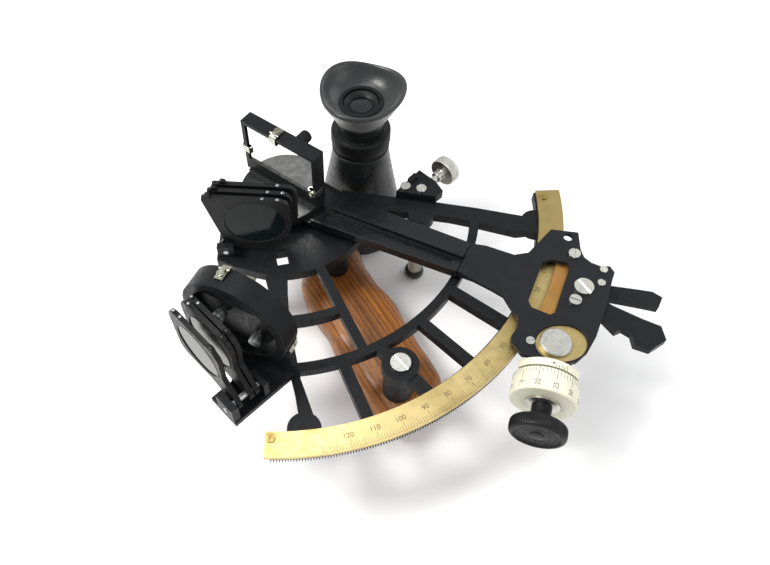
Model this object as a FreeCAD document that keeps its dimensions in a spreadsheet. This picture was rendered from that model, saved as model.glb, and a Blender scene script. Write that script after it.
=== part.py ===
import FreeCAD, Part
import math
import os
import Sketcher
from FreeCAD import Vector, Placement, Rotation

# Marine sextant: a ribbed frame with a graduated arc, an index arm that swings about a
# pivot and is driven along the arc by a worm and a micrometer drum, two mirrors, two
# stacks of shades, a telescope holder and a detached telescope standing beside it.
#
# X and Y lie in the plane of the arc, Z is up, and z = 0 is the plane the feet stand on,
# with the origin at the middle of the footprint of the whole set.  Pieces are drawn
# relative to the pivot axis of the index arm and to the graduated face of the arc, then
# raised by rest_height and moved over by centre_x and centre_y.

doc = FreeCAD.newDocument("nautical_sextant")
dims = doc.addObject("Spreadsheet::Sheet", "Dims")
CELL = {}       # alias -> value of every driving dimension
NODES = {}      # name -> finished piece
UP = Vector(0, 0, 1)
EAST = Vector(1, 0, 0)


def dim(alias, value):
    """Enter one driving dimension in the sheet, unless it is there already."""
    if alias not in CELL:
        row = len(CELL) + 1
        dims.set("A%d" % row, alias)
        dims.set("B%d" % row, repr(round(float(value), 6)))
        dims.setAlias("B%d" % row, alias)
        CELL[alias] = float(value)
    return CELL[alias]


rest_height = dim("rest_height", 64.0)
centre_x = dim("centre_x", -1.55)
centre_y = dim("centre_y", 88.30)
frame_thickness = dim("frame_thickness", 6.0)
arc_outer_radius = dim("arc_outer_radius", 159.6)
arc_inner_radius = dim("arc_inner_radius", 146.3)
arc_thickness = dim("arc_thickness", 2.0)
rack_tip_radius = dim("rack_tip_radius", 159.0)
rack_root_radius = dim("rack_root_radius", 157.8)
tooth_angle = dim("rack_tooth_angle", 0.5)
worm_axis_radius = dim("worm_axis_radius", 163.6)
worm_tip_radius = dim("worm_tip_radius", 5.35)
worm_core_radius = dim("worm_core_radius", 4.3)
drum_radius = dim("drum_radius", 16.0)
shade_thickness = dim("shade_thickness", 2.6)
running_gap = dim("running_gap", 0.04)
doc.recompute()

# Plan angles in degrees
arc_start, arc_end = -135.1, -43.3
arm_reading = 20.0                      # degrees on the arc's scale
arm_angle = -60.0 - arm_reading / 2.0
index_mirror_angle = -81.5
index_shade_angle = -45.5
worm_angle = -151.3                     # direction of the worm axis, towards the drum

# Heights above the graduated face of the arc
frame_top = -arc_thickness
frame_bottom = frame_top - frame_thickness
handle_boss_rise = 0.8
leg_boss_drop = 1.0
grip_bottom = -58.0
grip_thickness = 27.0
grip_top = grip_bottom + grip_thickness
arm_bottom = 1.0
arm_top = arm_bottom + 3.0
disc_top = arm_top + 4.2
mirror_seat_top = disc_top + 1.0
end_plate_top = 4.4
holder_top = 4.0
worm_z = -6.0

# Plan points shared by several pieces
handle_point = (-30.0, -122.7)
frame_leg_point = (50.0, -64.0)


# ---------------------------------------------------------------- placing and binding
def polar(radius, angle):
    return (radius * math.cos(math.radians(angle)), radius * math.sin(math.radians(angle)))


def lifted(x=0.0, y=0.0, z=0.0, rotation=None):
    return Placement(Vector(x, y, z + rest_height), rotation or Rotation())


def upright(yaw):
    """Turn a drawing plane so that its y points up, then turn it by yaw about Z."""
    return Rotation(UP, yaw).multiply(Rotation(EAST, 90))


def bind(obj, prop, alias, value):
    dim(alias, value)
    obj.setExpression(prop, "Dims." + alias)


def finish(name, obj, placement=None):
    """Label and place an object, and register it as the piece called name."""
    obj.Label = name
    middle = Placement(Vector(centre_x, centre_y, 0), Rotation())
    obj.Placement = middle.multiply(placement or lifted()).multiply(obj.Placement)
    NODES[name] = obj
    return obj


# ---------------------------------------------------------------- sketch outlines
def polygon(points):
    return [Part.LineSegment(Vector(*a, 0), Vector(*b, 0))
            for a, b in zip(points, points[1:] + points[:1])]


def circle(x, y, radius):
    return [Part.Circle(Vector(x, y, 0), UP, radius)]


def arc(radius, start, end):
    whole = Part.Circle(Vector(0, 0, 0), UP, radius)
    return Part.ArcOfCircle(whole, math.radians(start), math.radians(end))


def sector(inner, outer, start, end):
    """Ring sector between two radii and two plan angles, centred on the pivot."""
    def side(first, last, angle):
        return Part.LineSegment(Vector(*polar(first, angle), 0), Vector(*polar(last, angle), 0))
    return [arc(outer, start, end), side(outer, inner, end),
            arc(inner, start, end), side(inner, outer, start)]


def bar(start, end, width):
    """Straight bar of a given width between two points."""
    dx, dy = end[0] - start[0], end[1] - start[1]
    length = math.hypot(dx, dy)
    ox, oy = -dy / length * width / 2.0, dx / length * width / 2.0
    return polygon([(start[0] + ox, start[1] + oy), (end[0] + ox, end[1] + oy),
                    (end[0] - ox, end[1] - oy), (start[0] - ox, start[1] - oy)])


def sketch(body, name, role, outline, offset=0.0):
    """Sketch on an origin plane of the body, moved by offset along its normal."""
    plane = [f for f in body.Origin.OriginFeatures if f.Role == role][0]
    drawing = body.newObject("Sketcher::SketchObject", name)
    drawing.AttachmentSupport = [(plane, "")]
    drawing.MapMode = "FlatFace"
    drawing.AttachmentOffset = Placement(Vector(0, 0, offset), Rotation())
    for geometry in outline:
        drawing.addGeometry(geometry, False)
    return drawing


# ---------------------------------------------------------------- bodies
def prism_body(name, features):
    """Body of pads and pockets.  Each feature is (kind, label, outline, base, height):
    a pad grows from base by height, a pocket cuts from base downwards by height."""
    body = doc.addObject("PartDesign::Body", name + "_body")
    volume = 0.0
    for kind, label, outline, base, height in features:
        stem = name + "_" + label
        drawing = sketch(body, stem + "_sketch", "XY_Plane", outline, base)
        if len(outline) == 1:           # a lone circle: its radius is driven too
            radius = outline[0].Radius
            dim(stem + "_radius", radius)
            index = drawing.addConstraint(Sketcher.Constraint("Radius", 0, radius))
            drawing.setExpression("Constraints[%d]" % index, "Dims." + stem + "_radius")
        step_type = "PartDesign::Pad" if kind == "pad" else "PartDesign::Pocket"
        step = body.newObject(step_type, stem)
        step.Profile = drawing
        bind(step, "Length", stem + "_depth", height)
        doc.recompute([drawing, step])
        if "Invalid" in step.State or step.Shape.isNull():
            raise RuntimeError("feature failed: " + step.Name + " " + str(step.State))
        growth = step.Shape.Volume - volume
        if (kind == "pad" and growth <= 0) or (kind == "pocket" and growth >= -1e-6):
            raise RuntimeError(kind + " changed nothing: " + step.Name)
        volume = step.Shape.Volume
        body.Tip = step
    return body


def prism(name, features, placement=None):
    return finish(name, prism_body(name, features), placement)


def turned_body(name, profile):
    """Body turned about its local Z axis from a closed (radius, z) profile."""
    body = doc.addObject("PartDesign::Body", name + "_body")
    drawing = sketch(body, name + "_profile", "XZ_Plane", polygon(profile))
    turn = body.newObject("PartDesign::Revolution", name + "_turned")
    turn.Profile = drawing
    turn.ReferenceAxis = (drawing, ["V_Axis"])
    bind(turn, "Angle", "full_turn", 360.0)
    body.Tip = turn
    return body


def turned(name, profile, placement=None):
    return finish(name, turned_body(name, profile), placement)


# ---------------------------------------------------------------- primitives
def cylinder(name, radius, height, start, direction=UP):
    obj = doc.addObject("Part::Cylinder", name)
    bind(obj, "Radius", name + "_radius", radius)
    bind(obj, "Height", name + "_height", height)
    obj.Placement = Placement(Vector(*start), Rotation(UP, Vector(*direction)))
    return obj


def box(name, size, corner, yaw=0.0, origin=(0, 0, 0), alias=None):
    """Box whose corner is given in axes turned by yaw about Z at origin."""
    obj = doc.addObject("Part::Box", name)
    for prop, value in zip(("Length", "Width", "Height"), size):
        bind(obj, prop, (alias or name) + "_" + prop.lower(), value)
    rotation = Rotation(UP, yaw)
    obj.Placement = Placement(Vector(*origin) + rotation.multVec(Vector(*corner)), rotation)
    return obj


def fuse(name, parts):
    obj = doc.addObject("Part::MultiFuse", name)
    obj.Shapes = parts
    obj.Refine = True
    return obj


def cut(name, base, tool):
    obj = doc.addObject("Part::Cut", name)
    obj.Base = base
    obj.Tool = tool
    return obj


def finish_group(name, parts, placement=None):
    obj = doc.addObject("Part::Compound", name + "_group")
    obj.Links = parts
    return finish(name, obj, placement)


def finish_shape(name, shape, placement=None):
    obj = doc.addObject("Part::Feature", name + "_shape")
    obj.Shape = shape
    return finish(name, obj, placement)


def slotted(name, x, y, base, head_radius, head_height, slot_width, slot_yaw,
            shank_radius=1.0, shank_length=0.0):
    """Slotted cheese-head screw whose head stands on base."""
    head = cylinder(name + "_head", head_radius, head_height, (x, y, base))
    shank = cylinder(name + "_shank", shank_radius, shank_length + 0.5,
                     (x, y, base - shank_length))
    blank = fuse(name + "_blank", [head, shank])
    slot = box(name + "_slot", (head_radius * 2.4, slot_width, head_height),
               (-head_radius * 1.2, -slot_width / 2.0, 0), slot_yaw,
               origin=(x, y, base + head_height * 0.5))
    return cut(name, blank, slot)


# ================================================================ frame
hub_outline = (
    [(-24, 12), (-45, 1), (-56, -6), (-52, -17), (-45, -30), (-39, -39)]
    + [polar(54.0, a) for a in range(-134, -46, 4)]
    + [(37, -35), (29, -23), (24, 10)]
    + [polar(24.5, a) for a in range(30, 160, 10)])
left_limb = [
    (-33, -40), (-44, -34), (-60, -63), (-79, -97), (-89, -112),
    (-82, -116), (-72, -94), (-53, -64), (-40, -48)]
right_limb = [
    (22, -20), (30, -20), (63.5, -68), (74, -83.5), (83, -98), (88, -106), (97, -110.5),
    (90, -121), (77, -111), (67, -92), (59, -78), (52, -68), (30, -40)]
hub_window = [(-34, -33.5), (-29.5, -26), (-24, -29.5), (-28.5, -37)]
frame_pads = [
    ("limb", sector(145.5, 157.0, arc_start, arc_end)),
    ("hub_plate", polygon(hub_outline)),
    ("left_limb", polygon(left_limb)),
    ("right_limb", polygon(right_limb)),
    ("long_rib", sector(109.0, 114.0, -129.2, -53.0)),
    ("short_rib", sector(80.6, 85.4, -131.2, -110.5)),
    ("bar_b", bar((-17, -49), (-38, -106), 5.2)),
    ("bar_lower", bar((-49, -100), (-64, -136), 6.0)),
    ("bar_c", bar((-30, -108), (-31, -147), 6.0)),
    ("bar_d", bar((-3.5, -109), (-3.5, -149), 5.6)),
    ("bar_e", bar((21.7, -108), (27.3, -149), 6.2)),
    ("left_boss", circle(-88.5, -114.5, 8.5)),
    ("right_boss", circle(90.0, -114.0, 8.5)),
]
prism("frame", [
    ("pad", label, outline, frame_bottom, frame_thickness) for label, outline in frame_pads
] + [
    ("pad", "handle_boss", circle(*handle_point, 9.6),
     frame_bottom, frame_thickness + handle_boss_rise),
    ("pad", "leg_boss", circle(*frame_leg_point, 7.6),
     frame_bottom - leg_boss_drop, frame_thickness + leg_boss_drop),
    ("pad", "hub_boss", circle(0, 0, 17.0), -15.0, 13.0),
    ("pocket", "hub_bore", circle(0, 0, 8.0), 0.0, 30.0),
    ("pocket", "hub_window", polygon(hub_window), 0.0, 20.0),
    ("pocket", "handle_hole", circle(*handle_point, 3.2), 0.0, 20.0),
])

# Graduated arc on top of the limb
prism("arc_scale", [
    ("pad", "band", sector(arc_inner_radius, arc_outer_radius, arc_start, arc_end),
     -arc_thickness, arc_thickness),
])

# ================================================================ rack under the arc's edge
rack_start = -134.3
rack_span = 90.0
rack_inner_radius = 157.05
# One tooth: (angle past the middle of the gap, radius)
tooth_profile = [(0.0, rack_root_radius), (0.12, rack_root_radius), (0.20, rack_tip_radius),
                 (0.30, rack_tip_radius), (0.38, rack_root_radius)]


def rack_shape():
    teeth = [Vector(*polar(radius, rack_start + i * tooth_angle + da), 0)
             for i in range(round(rack_span / tooth_angle)) for da, radius in tooth_profile]
    # The inner edge runs back to the start in chords of one degree
    inner_angles = [rack_start + rack_span - 0.12 - k for k in range(int(rack_span) + 1)]
    inner = [Vector(*polar(rack_inner_radius, a), 0) for a in inner_angles + [rack_start]]
    outline = Part.makePolygon(teeth + inner + teeth[:1])
    return Part.Face(outline).extrude(Vector(0, 0, 5.4))


finish_shape("arc_rack", rack_shape(), lifted(0, 0, -7.4))

# ================================================================ handle and legs
grip_outline = [
    (-19, -31), (-27, -52), (-29.5, -66), (-34.5, -80), (-37, -93), (-42.5, -107),
    (-46, -124), (-40, -133), (-30, -137), (-14, -138), (-4, -133), (1, -115), (6, -99),
    (13, -80), (14.5, -66), (17.5, -54), (25, -38), (18, -31), (0, -27)]


def handle_grip():
    """Grip plate with chamfered top and bottom edges."""
    body = doc.addObject("PartDesign::Body", "handle_grip_body")
    plan = sketch(body, "handle_grip_plan", "XY_Plane", polygon(grip_outline), grip_bottom)
    pad = body.newObject("PartDesign::Pad", "handle_grip_pad")
    pad.Profile = plan
    bind(pad, "Length", "handle_grip_thickness", grip_thickness)
    doc.recompute()             # the chamfer picks its faces from the built pad
    flat_faces = ["Face%d" % (i + 1) for i, face in enumerate(pad.Shape.Faces)
                  if abs(face.normalAt(0, 0).z) > 0.9]
    chamfer = body.newObject("PartDesign::Chamfer", "handle_grip_edges")
    chamfer.Base = (pad, flat_faces)
    bind(chamfer, "Size", "handle_grip_edge", 5.0)
    body.Tip = chamfer
    return body


finish("handle_grip", handle_grip())

post_height = frame_bottom - grip_top
finish_group("handle_posts", [
    cylinder("lower_post", 8.0, post_height, (*handle_point, grip_top)),
    cylinder("upper_post", 7.0, post_height, (2.0, -43.0, grip_top)),
])


def leg(index, x, y, top):
    """Collar below top, stem and tip standing on the ground."""
    collar_height = 16.0
    stem_bottom = 4.0 - rest_height
    return fuse("leg_%d" % index, [
        cylinder("leg_collar_%d" % index, 6.2, collar_height, (x, y, top - collar_height)),
        cylinder("leg_stem_%d" % index, 4.2, top - 8.0 - stem_bottom, (x, y, stem_bottom)),
        cylinder("leg_tip_%d" % index, 6.0, 4.5, (x, y, -rest_height)),
    ])


finish_group("legs", [
    leg(0, *frame_leg_point, frame_bottom - leg_boss_drop),
    leg(1, -43.0, -14.0, frame_bottom),
    cylinder("grip_foot", 6.0, 6.0, (-26.0, -124.0, -rest_height)),
])

# name, x, y, base, head radius, head height, slot width, slot yaw, shank radius and length
frame_screws = [
    ("arc_screw_left", -104.0, -107.5, 0.0, 2.4, 0.7, 0.7, 40, 1.2, 0.0),
    ("arc_screw_right", 106.0, -106.5, 0.0, 2.4, 0.7, 0.7, 70, 1.2, 0.0),
    ("handle_screw", *handle_point, frame_top + handle_boss_rise, 5.2, 1.8, 1.0, 85, 3.1, 5.0),
    ("holder_screw_a", 53.8, -47.6, holder_top, 2.9, 1.2, 0.8, 20, 1.2, 0.0),
    ("holder_screw_b", 58.8, -55.4, holder_top, 2.9, 1.2, 0.8, 75, 1.2, 0.0),
]
finish_group("frame_screws", [slotted(*row) for row in frame_screws])

# ================================================================ pivot
bush_bore = 5.0
axle_radius = bush_bore - running_gap
turned("pivot_bush", [(bush_bore, -16.0), (10.0, -16.0), (10.0, -15.0), (8.0, -15.0),
                      (8.0, -1.4), (bush_bore, -1.4)])
turned("pivot_axle", [(0, -18.0), (axle_radius, -18.0), (axle_radius, -1.2), (9.0, -1.2),
                      (9.0, arm_bottom), (0, arm_bottom)])
turned("pivot_cap", [(0, -20.5), (8.5, -20.5), (8.5, -18.0), (0, -18.0)])

# ================================================================ index arm
# Local x runs outwards along the arm, local y across it
arm_plate = [(0, -13.5), (60, -12.2), (110.8, -11.15), (110.8, 11.75), (60, 12.6), (0, 13.5)]
arm_tongue = [(105, -10.0), (128, -10.0), (128, 10.5), (105, 10.5)]
arm_lip = [(25, -12.95), (110.8, -11.15), (110.8, -9.5), (25, -11.3)]
arm_ridge = [(34, -0.4), (110.8, -0.9), (110.8, 1.6), (34, 2.2)]
arm_channel = [(30, -9.8), (106, -8.6), (106, -2.2), (30, -2.0)]
prism("index_arm", [
    ("pad", "plate", polygon(arm_plate), arm_bottom, arm_top - arm_bottom),
    ("pad", "head", circle(0, 0, 23.0), arm_bottom, arm_top - arm_bottom),
    ("pad", "tongue", polygon(arm_tongue), arm_bottom, 1.0),
    ("pad", "left_lip", polygon(arm_lip), arm_top, 2.6),
    ("pad", "ridge", polygon(arm_ridge), 2.0, 5.0),
    ("pocket", "channel", polygon(arm_channel), arm_top, 1.4),
], lifted(rotation=Rotation(UP, arm_angle)))

on_index_mirror = lifted(rotation=Rotation(UP, index_mirror_angle))
mirror_seat = [(-25, -1.0), (25, -1.0), (25, 9.5), (-25, 9.5)]
prism("arm_disc", [
    ("pad", "disc", circle(0, 0, 24.5), arm_top, disc_top - arm_top),
    ("pad", "mirror_seat", polygon(mirror_seat), disc_top, mirror_seat_top - disc_top),
], on_index_mirror)

# ================================================================ plates over the arc
worm_axis = Vector(*polar(1.0, worm_angle), 0)
worm_out = Vector(-worm_axis.y, worm_axis.x, 0)     # outwards from the pivot, across the worm


def on_worm(along, radius):
    """Plan point at a distance along the worm axis and a distance from the pivot."""
    return (worm_axis.x * along + worm_out.x * radius, worm_axis.y * along + worm_out.y * radius)


carriage_pin = on_worm(54.0, worm_axis_radius)
carriage_pin_bore = 3.0


def oval(scale):
    """Slanted ellipse beside the carriage pin."""
    points = []
    cosine, sine = polar(1.0, -30)
    for k in range(36):
        turn = 2 * math.pi * k / 36
        x, y = 12.8 * math.cos(turn), 10.2 * math.sin(turn)
        points.append((carriage_pin[0] + 1.9 + (x * cosine - y * sine) * scale,
                       carriage_pin[1] - 1.9 + (x * sine + y * cosine) * scale))
    return polygon(points)


end_plate_outline = [
    (49.0, -101.3), (53.2, -107.4), (59.0, -121.8), (65.5, -126.2), (86.5, -125.0),
    (95.0, -136.5), (86.6, -144.0), (83.6, -148.3), (83.2, -153.0), (84.8, -158.1),
    (88.0, -161.0), (86.5, -165.0), (81.5, -167.0), (76.0, -169.4), (68.0, -173.2),
    (60.5, -176.2), (54.6, -178.4), (47.7, -181.0), (37.7, -183.2), (29.6, -182.7),
    (23.4, -178.4), (18.0, -167.2), (14.0, -162.4), (15.6, -154.5), (18.5, -152.0),
    (24.7, -151.0), (29.2, -148.0), (31.5, -141.5), (34.5, -134.5), (33.5, -127.5),
    (31.0, -115.5), (29.5, -107.5)]
end_plate_window = [
    (65.6, -135.2), (70.4, -137.4), (74.6, -144.6), (72.8, -147.2),
    (45.0, -158.6), (42.2, -157.6), (39.2, -148.6), (41.0, -145.0)]
prism("end_plate", [
    ("pad", "plate", polygon(end_plate_outline), 2.0, 2.4),
    ("pocket", "window", polygon(end_plate_window), end_plate_top, 3.0),
    ("pocket", "oval", oval(1.012), end_plate_top, 3.0),
    ("pocket", "ear_hole", circle(88.6, -134.6, 2.4), end_plate_top, 3.0),
])

index_band = ([polar(157.3, a) for a in (-62.6, -65.5, -68.5, -71.5, -74.5, -76.4)]
              + [polar(165.0, a) for a in (-76.4, -72, -68, -64, -61.8)])
prism("index_plate", [("pad", "band", polygon(index_band), 0.4, 1.6)])

prism("pivot_bearing_plate", [
    ("pad", "flange", oval(1.05), 0.2, 1.8),
    ("pad", "oval", oval(1.0), 0.2, 3.2),
    ("pocket", "bore", circle(*carriage_pin, carriage_pin_bore), 4.0, 6.0),
])

# name, x, y, base, head radius, head height, slot width, slot yaw
plate_screws = [
    ("plate_screw_a", 81.6, -143.6, end_plate_top, 3.1, 1.1, 0.8, 30),
    ("plate_screw_b", 83.6, -160.2, end_plate_top, 2.0, 1.0, 0.7, 60),
    ("plate_screw_c", 76.0, -164.2, end_plate_top, 2.0, 1.0, 0.7, 10),
    ("plate_screw_d", 23.1, -160.2, end_plate_top, 2.2, 0.6, 0.7, -30),
    ("plate_screw_e", 57.7, -161.3, end_plate_top, 3.1, 1.6, 0.8, 110),
    ("lever_screw", 67.4, -159.5, end_plate_top, 4.9, 1.7, 1.1, 75),
]
finish_group("plate_screws", [slotted(*row) for row in plate_screws])

fixed_lever_outline = [
    (61.2, -169.5), (69.5, -167.5), (70.5, -176), (74, -190), (77, -199), (72, -205),
    (62, -203), (59, -196), (63, -191.5), (62.5, -187), (58.5, -185.5), (60.5, -176)]
spring_lug = [on_worm(23.4, 179.0), on_worm(28.6, 179.0),
              on_worm(28.6, 181.6), on_worm(23.4, 181.6)]
prism("fixed_lever", [
    ("pad", "arm", polygon(fixed_lever_outline), -2.6, 4.6),
    ("pad", "spring_lug", polygon(spring_lug), -10.0, 7.6),
])

# ================================================================ index mirror
# Local x runs across the mirror, local y towards its back
finish("index_mirror_frame", cut(
    "index_mirror_frame_solid",
    box("im_outer", (52.0, 8.5, 38.0), (-27.0, 0.4, mirror_seat_top)),
    box("im_open", (47.6, 6.0, 27.0), (-24.3, -1.0, 18.0))), on_index_mirror)
finish("index_mirror_glass", box("im_glass", (47.2, 3.4, 26.6), (-24.1, 1.4, 18.2)),
       on_index_mirror)

# side, clip size, clip corner, finger size, finger corner
index_clips = [
    ("top", (4.2, 4.6, 1.2), (-5.5, -1.1, 47.2), (3.0, 1.0, 5.4), (-4.9, -0.6, 41.8)),
    ("left", (1.2, 4.6, 4.2), (-28.2, -1.1, 24.0), (5.2, 1.0, 3.0), (-27.0, -0.6, 24.6)),
    ("right", (1.2, 4.6, 4.2), (25.0, -1.1, 17.0), (5.2, 1.0, 3.0), (19.8, -0.6, 17.6)),
]
finish_group("index_mirror_clips", [
    fuse("im_clip_solid_" + side, [box("im_clip_" + side, clip_size, clip_corner),
                                   box("im_finger_" + side, finger_size, finger_corner)])
    for side, clip_size, clip_corner, finger_size, finger_corner in index_clips
], on_index_mirror)
finish_group("index_mirror_adjusters", [
    cylinder("im_adjuster_" + place, 3.6, 8.5, (x, 8.9, z), (0, 1, 0))
    for place, x, z in (("top", 7.5, 42.6), ("side", -18.0, 20.0))
], on_index_mirror)

# ================================================================ worm carriage
worm_turn = Rotation(UP, worm_axis)
on_shaft = lifted(*on_worm(0.0, worm_axis_radius), worm_z, worm_turn)
shaft_radius = 2.5
worm_bush_radius = 3.6
pin_radius = carriage_pin_bore - running_gap
# Start and end of the three shaft bearings along the worm axis
bearings = [(-9.5, -6.2), (8.0, 13.0), (43.0, 63.0)]
end_bearing, middle_bearing, head_bearing = bearings
# name, start and end along the worm, across it from its axis, and in height
carriage_blocks = [
    ("floor", (end_bearing[0], head_bearing[1]), (-3.2, 5.2), (-14.0, -12.0)),
    ("end", end_bearing, (-3.2, 5.2), (-13.0, -0.8)),
    ("middle", middle_bearing, (-3.2, 5.2), (-13.0, -0.8)),
    ("beam", (middle_bearing[0], head_bearing[1]), (4.8, 9.6), (-14.0, -0.8)),
    ("head", head_bearing, (-8.0, 9.6), (-14.0, -0.8)),
]


def worm_carriage():
    blocks = [
        box("carriage_" + name, (along[1] - along[0], across[1] - across[0], z[1] - z[0]),
            (along[0], worm_axis_radius + across[0], z[0]), worm_angle)
        for name, along, across, z in carriage_blocks]
    blank = fuse("carriage_blank", blocks)
    shaft_bore = cylinder("carriage_shaft_bore", worm_bush_radius, 74.0,
                          (*on_worm(-10.0, worm_axis_radius), worm_z), worm_axis)
    pin_bore = cylinder("carriage_pin_bore", pin_radius, 2.2, (*carriage_pin, -2.2))
    return cut("worm_carriage_solid", cut("carriage_bored", blank, shaft_bore), pin_bore)


def worm_bush(index, start, end):
    outer = cylinder("worm_bush_outer_%d" % index, worm_bush_radius, end - start,
                     (*on_worm(start, worm_axis_radius), worm_z), worm_axis)
    bore = cylinder("worm_bush_bore_%d" % index, shaft_radius + running_gap, end - start + 1.0,
                    (*on_worm(start - 0.5, worm_axis_radius), worm_z), worm_axis)
    return cut("worm_bush_%d" % index, outer, bore)


finish("worm_carriage", worm_carriage())
turned("carriage_pivot", [(0, -2.2), (pin_radius, -2.2), (pin_radius, 3.6), (7.9, 3.6),
                          (7.9, 5.0), (7.3, 5.6), (0, 5.6)], lifted(*carriage_pin))
finish_group("worm_bushes", [worm_bush(k, *span) for k, span in enumerate(bearings)])

release_lever_outline = [
    on_worm(9.0, worm_axis_radius + 9.6), on_worm(15.0, worm_axis_radius + 9.6),
    (75.5, -169.0), (81.0, -177.5), (86.0, -185.5), (89.5, -191.5), (96.0, -189.5),
    (95.5, -184.0), (91.0, -177.5), (84.5, -168.5), (82.0, -164.6)]
prism("release_lever", [("pad", "bar", polygon(release_lever_outline), -8.0, 5.0)])


def release_spring():
    """Coil spring that holds the worm in mesh, along local Z."""
    coil_radius, wire_radius, coil_length, coil_pitch = 2.6, 0.4, 5.8, 1.3
    helix = Part.makeHelix(coil_pitch, coil_length - 0.9, coil_radius)
    section = Part.makeCircle(wire_radius, Vector(coil_radius, 0, 0), Vector(0, 1, 0))
    return Part.Wire(helix.Edges).makePipeShell([Part.Wire(section)], True, True)


# It stands between the carriage beam and the lug of the fixed lever
finish_shape("release_spring", release_spring(),
             lifted(*on_worm(26.0, worm_axis_radius + 10.05), -7.0, Rotation(UP, worm_out)))

# Fixed index sleeve beside the drum: a sector of a ring carried by a web on the carriage.
# Its local x is rolled 6 degrees about the worm axis away from straight up.
sleeve_sector = ([polar(15.9, a) for a in range(-64, 65, 8)]
                 + [polar(13.4, a) for a in range(64, -65, -8)])
sleeve_web = [(-8.0, -6.0), (14.0, -6.0), (14.0, 6.0), (-8.0, 6.0)]
sleeve_bridge = [(-8.0, -6.0), (5.2, -6.0), (5.2, 6.0), (-8.0, 6.0)]
local_up = worm_turn.inverted().multVec(UP)
sleeve_roll = math.degrees(math.atan2(local_up.y, local_up.x)) + 6.0
prism("index_sleeve", [
    ("pad", "sector", polygon(sleeve_sector), 66.6, 4.0),
    ("pad", "web", polygon(sleeve_web), 66.6, 1.6),
    ("pad", "bridge", polygon(sleeve_bridge), 63.0, 4.0),
    ("pocket", "clearance", circle(0, 0, 3.2), 68.6, 6.0),
], Placement(on_shaft.Base, worm_turn.multiply(Rotation(UP, sleeve_roll))))

# ================================================================ micrometer
pitch_radius = (rack_tip_radius + rack_root_radius) / 2.0 + 0.1
worm_lead = dim("worm_lead", math.pi * 2 * pitch_radius * tooth_angle / 360.0)
thread_length = 9.4
thread_start = -4.0


def worm_shaft():
    """Shaft, worm core and thread along local Z, with the mesh point at z = 0."""
    core = Part.makeCylinder(worm_core_radius, 11.4, Vector(0, 0, -4.9))
    shaft = Part.makeCylinder(shaft_radius, 97.0, Vector(0, 0, -10.0))
    helix = Part.makeHelix(worm_lead, thread_length, worm_core_radius - 0.15)
    thread_root = worm_core_radius - 0.2
    root_half, crest_half = 0.30, 0.13          # half widths of the thread
    profile = Part.makePolygon([
        Vector(thread_root, 0, -root_half), Vector(thread_root, 0, root_half),
        Vector(worm_tip_radius, 0, crest_half), Vector(worm_tip_radius, 0, -crest_half),
        Vector(thread_root, 0, -root_half)])
    thread = Part.Wire(helix.Edges).makePipeShell([profile], True, True)
    thread.translate(Vector(0, 0, thread_start))
    # Turn the thread so that at z = 0 its crest faces the rack, at the middle of a gap
    toward = worm_turn.inverted().multVec(worm_out * -1)
    crest_angle = math.degrees(math.atan2(toward.y, toward.x))
    thread.rotate(Vector(0, 0, 0), UP, crest_angle + 360.0 * (thread_start / worm_lead))
    return core.fuse(shaft).removeSplitter().fuse(thread)


finish_shape("worm_shaft", worm_shaft(), on_shaft)
turned("micrometer_drum", [
    (shaft_radius, 71.2), (drum_radius - 0.6, 71.2), (drum_radius, 71.8),
    (drum_radius, 83.0), (drum_radius - 0.6, 83.6), (shaft_radius, 83.6)], on_shaft)
turned("drum_washer", [
    (shaft_radius, 83.6), (8.4, 83.6), (8.4, 84.6), (7.4, 85.0), (shaft_radius, 85.0)], on_shaft)
turned("micrometer_knob", [
    (shaft_radius, 85.0), (4.9, 85.0), (4.9, 92.0), (7.5, 93.6), (12.6, 94.6), (13.6, 96.0),
    (13.6, 100.0), (12.2, 101.6), (10.5, 101.2), (0, 100.6), (0, 87.0), (shaft_radius, 87.0)],
    on_shaft)

# ================================================================ shades
shade_pin_radius = 1.5
index_pin = (-29.0, 3.4)            # shade pin in (across, height)
horizon_pin = (-85.5, 9.2)


def shade(name, placement, middle, outline, centre, pin, glass_radius):
    """Frame and glass of one shade, drawn in (across, height); middle is the place of
    its middle plane along the pin."""
    cut_from, cut_depth = middle + shade_thickness, 3 * shade_thickness
    prism(name + "_frame", [
        ("pad", "plate", polygon(outline), middle - shade_thickness / 2.0, shade_thickness),
        ("pocket", "opening", circle(*centre, glass_radius), cut_from, cut_depth),
        ("pocket", "pin_hole", circle(*pin, shade_pin_radius + running_gap),
         cut_from, cut_depth),
    ], placement)
    prism(name + "_glass", [
        ("pad", "disc", circle(*centre, glass_radius), middle - 0.9, 1.8),
    ], placement)


# The index shades lean a little further over from one to the next, so that their top
# corners form steps; each has a straight outer edge that runs down to the pin.
index_lug = [(-30.0, 9.0), (-32.8, 5.0), (-32.2, 1.1), (-29.0, -0.6), (-25.6, 1.2)]
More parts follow.
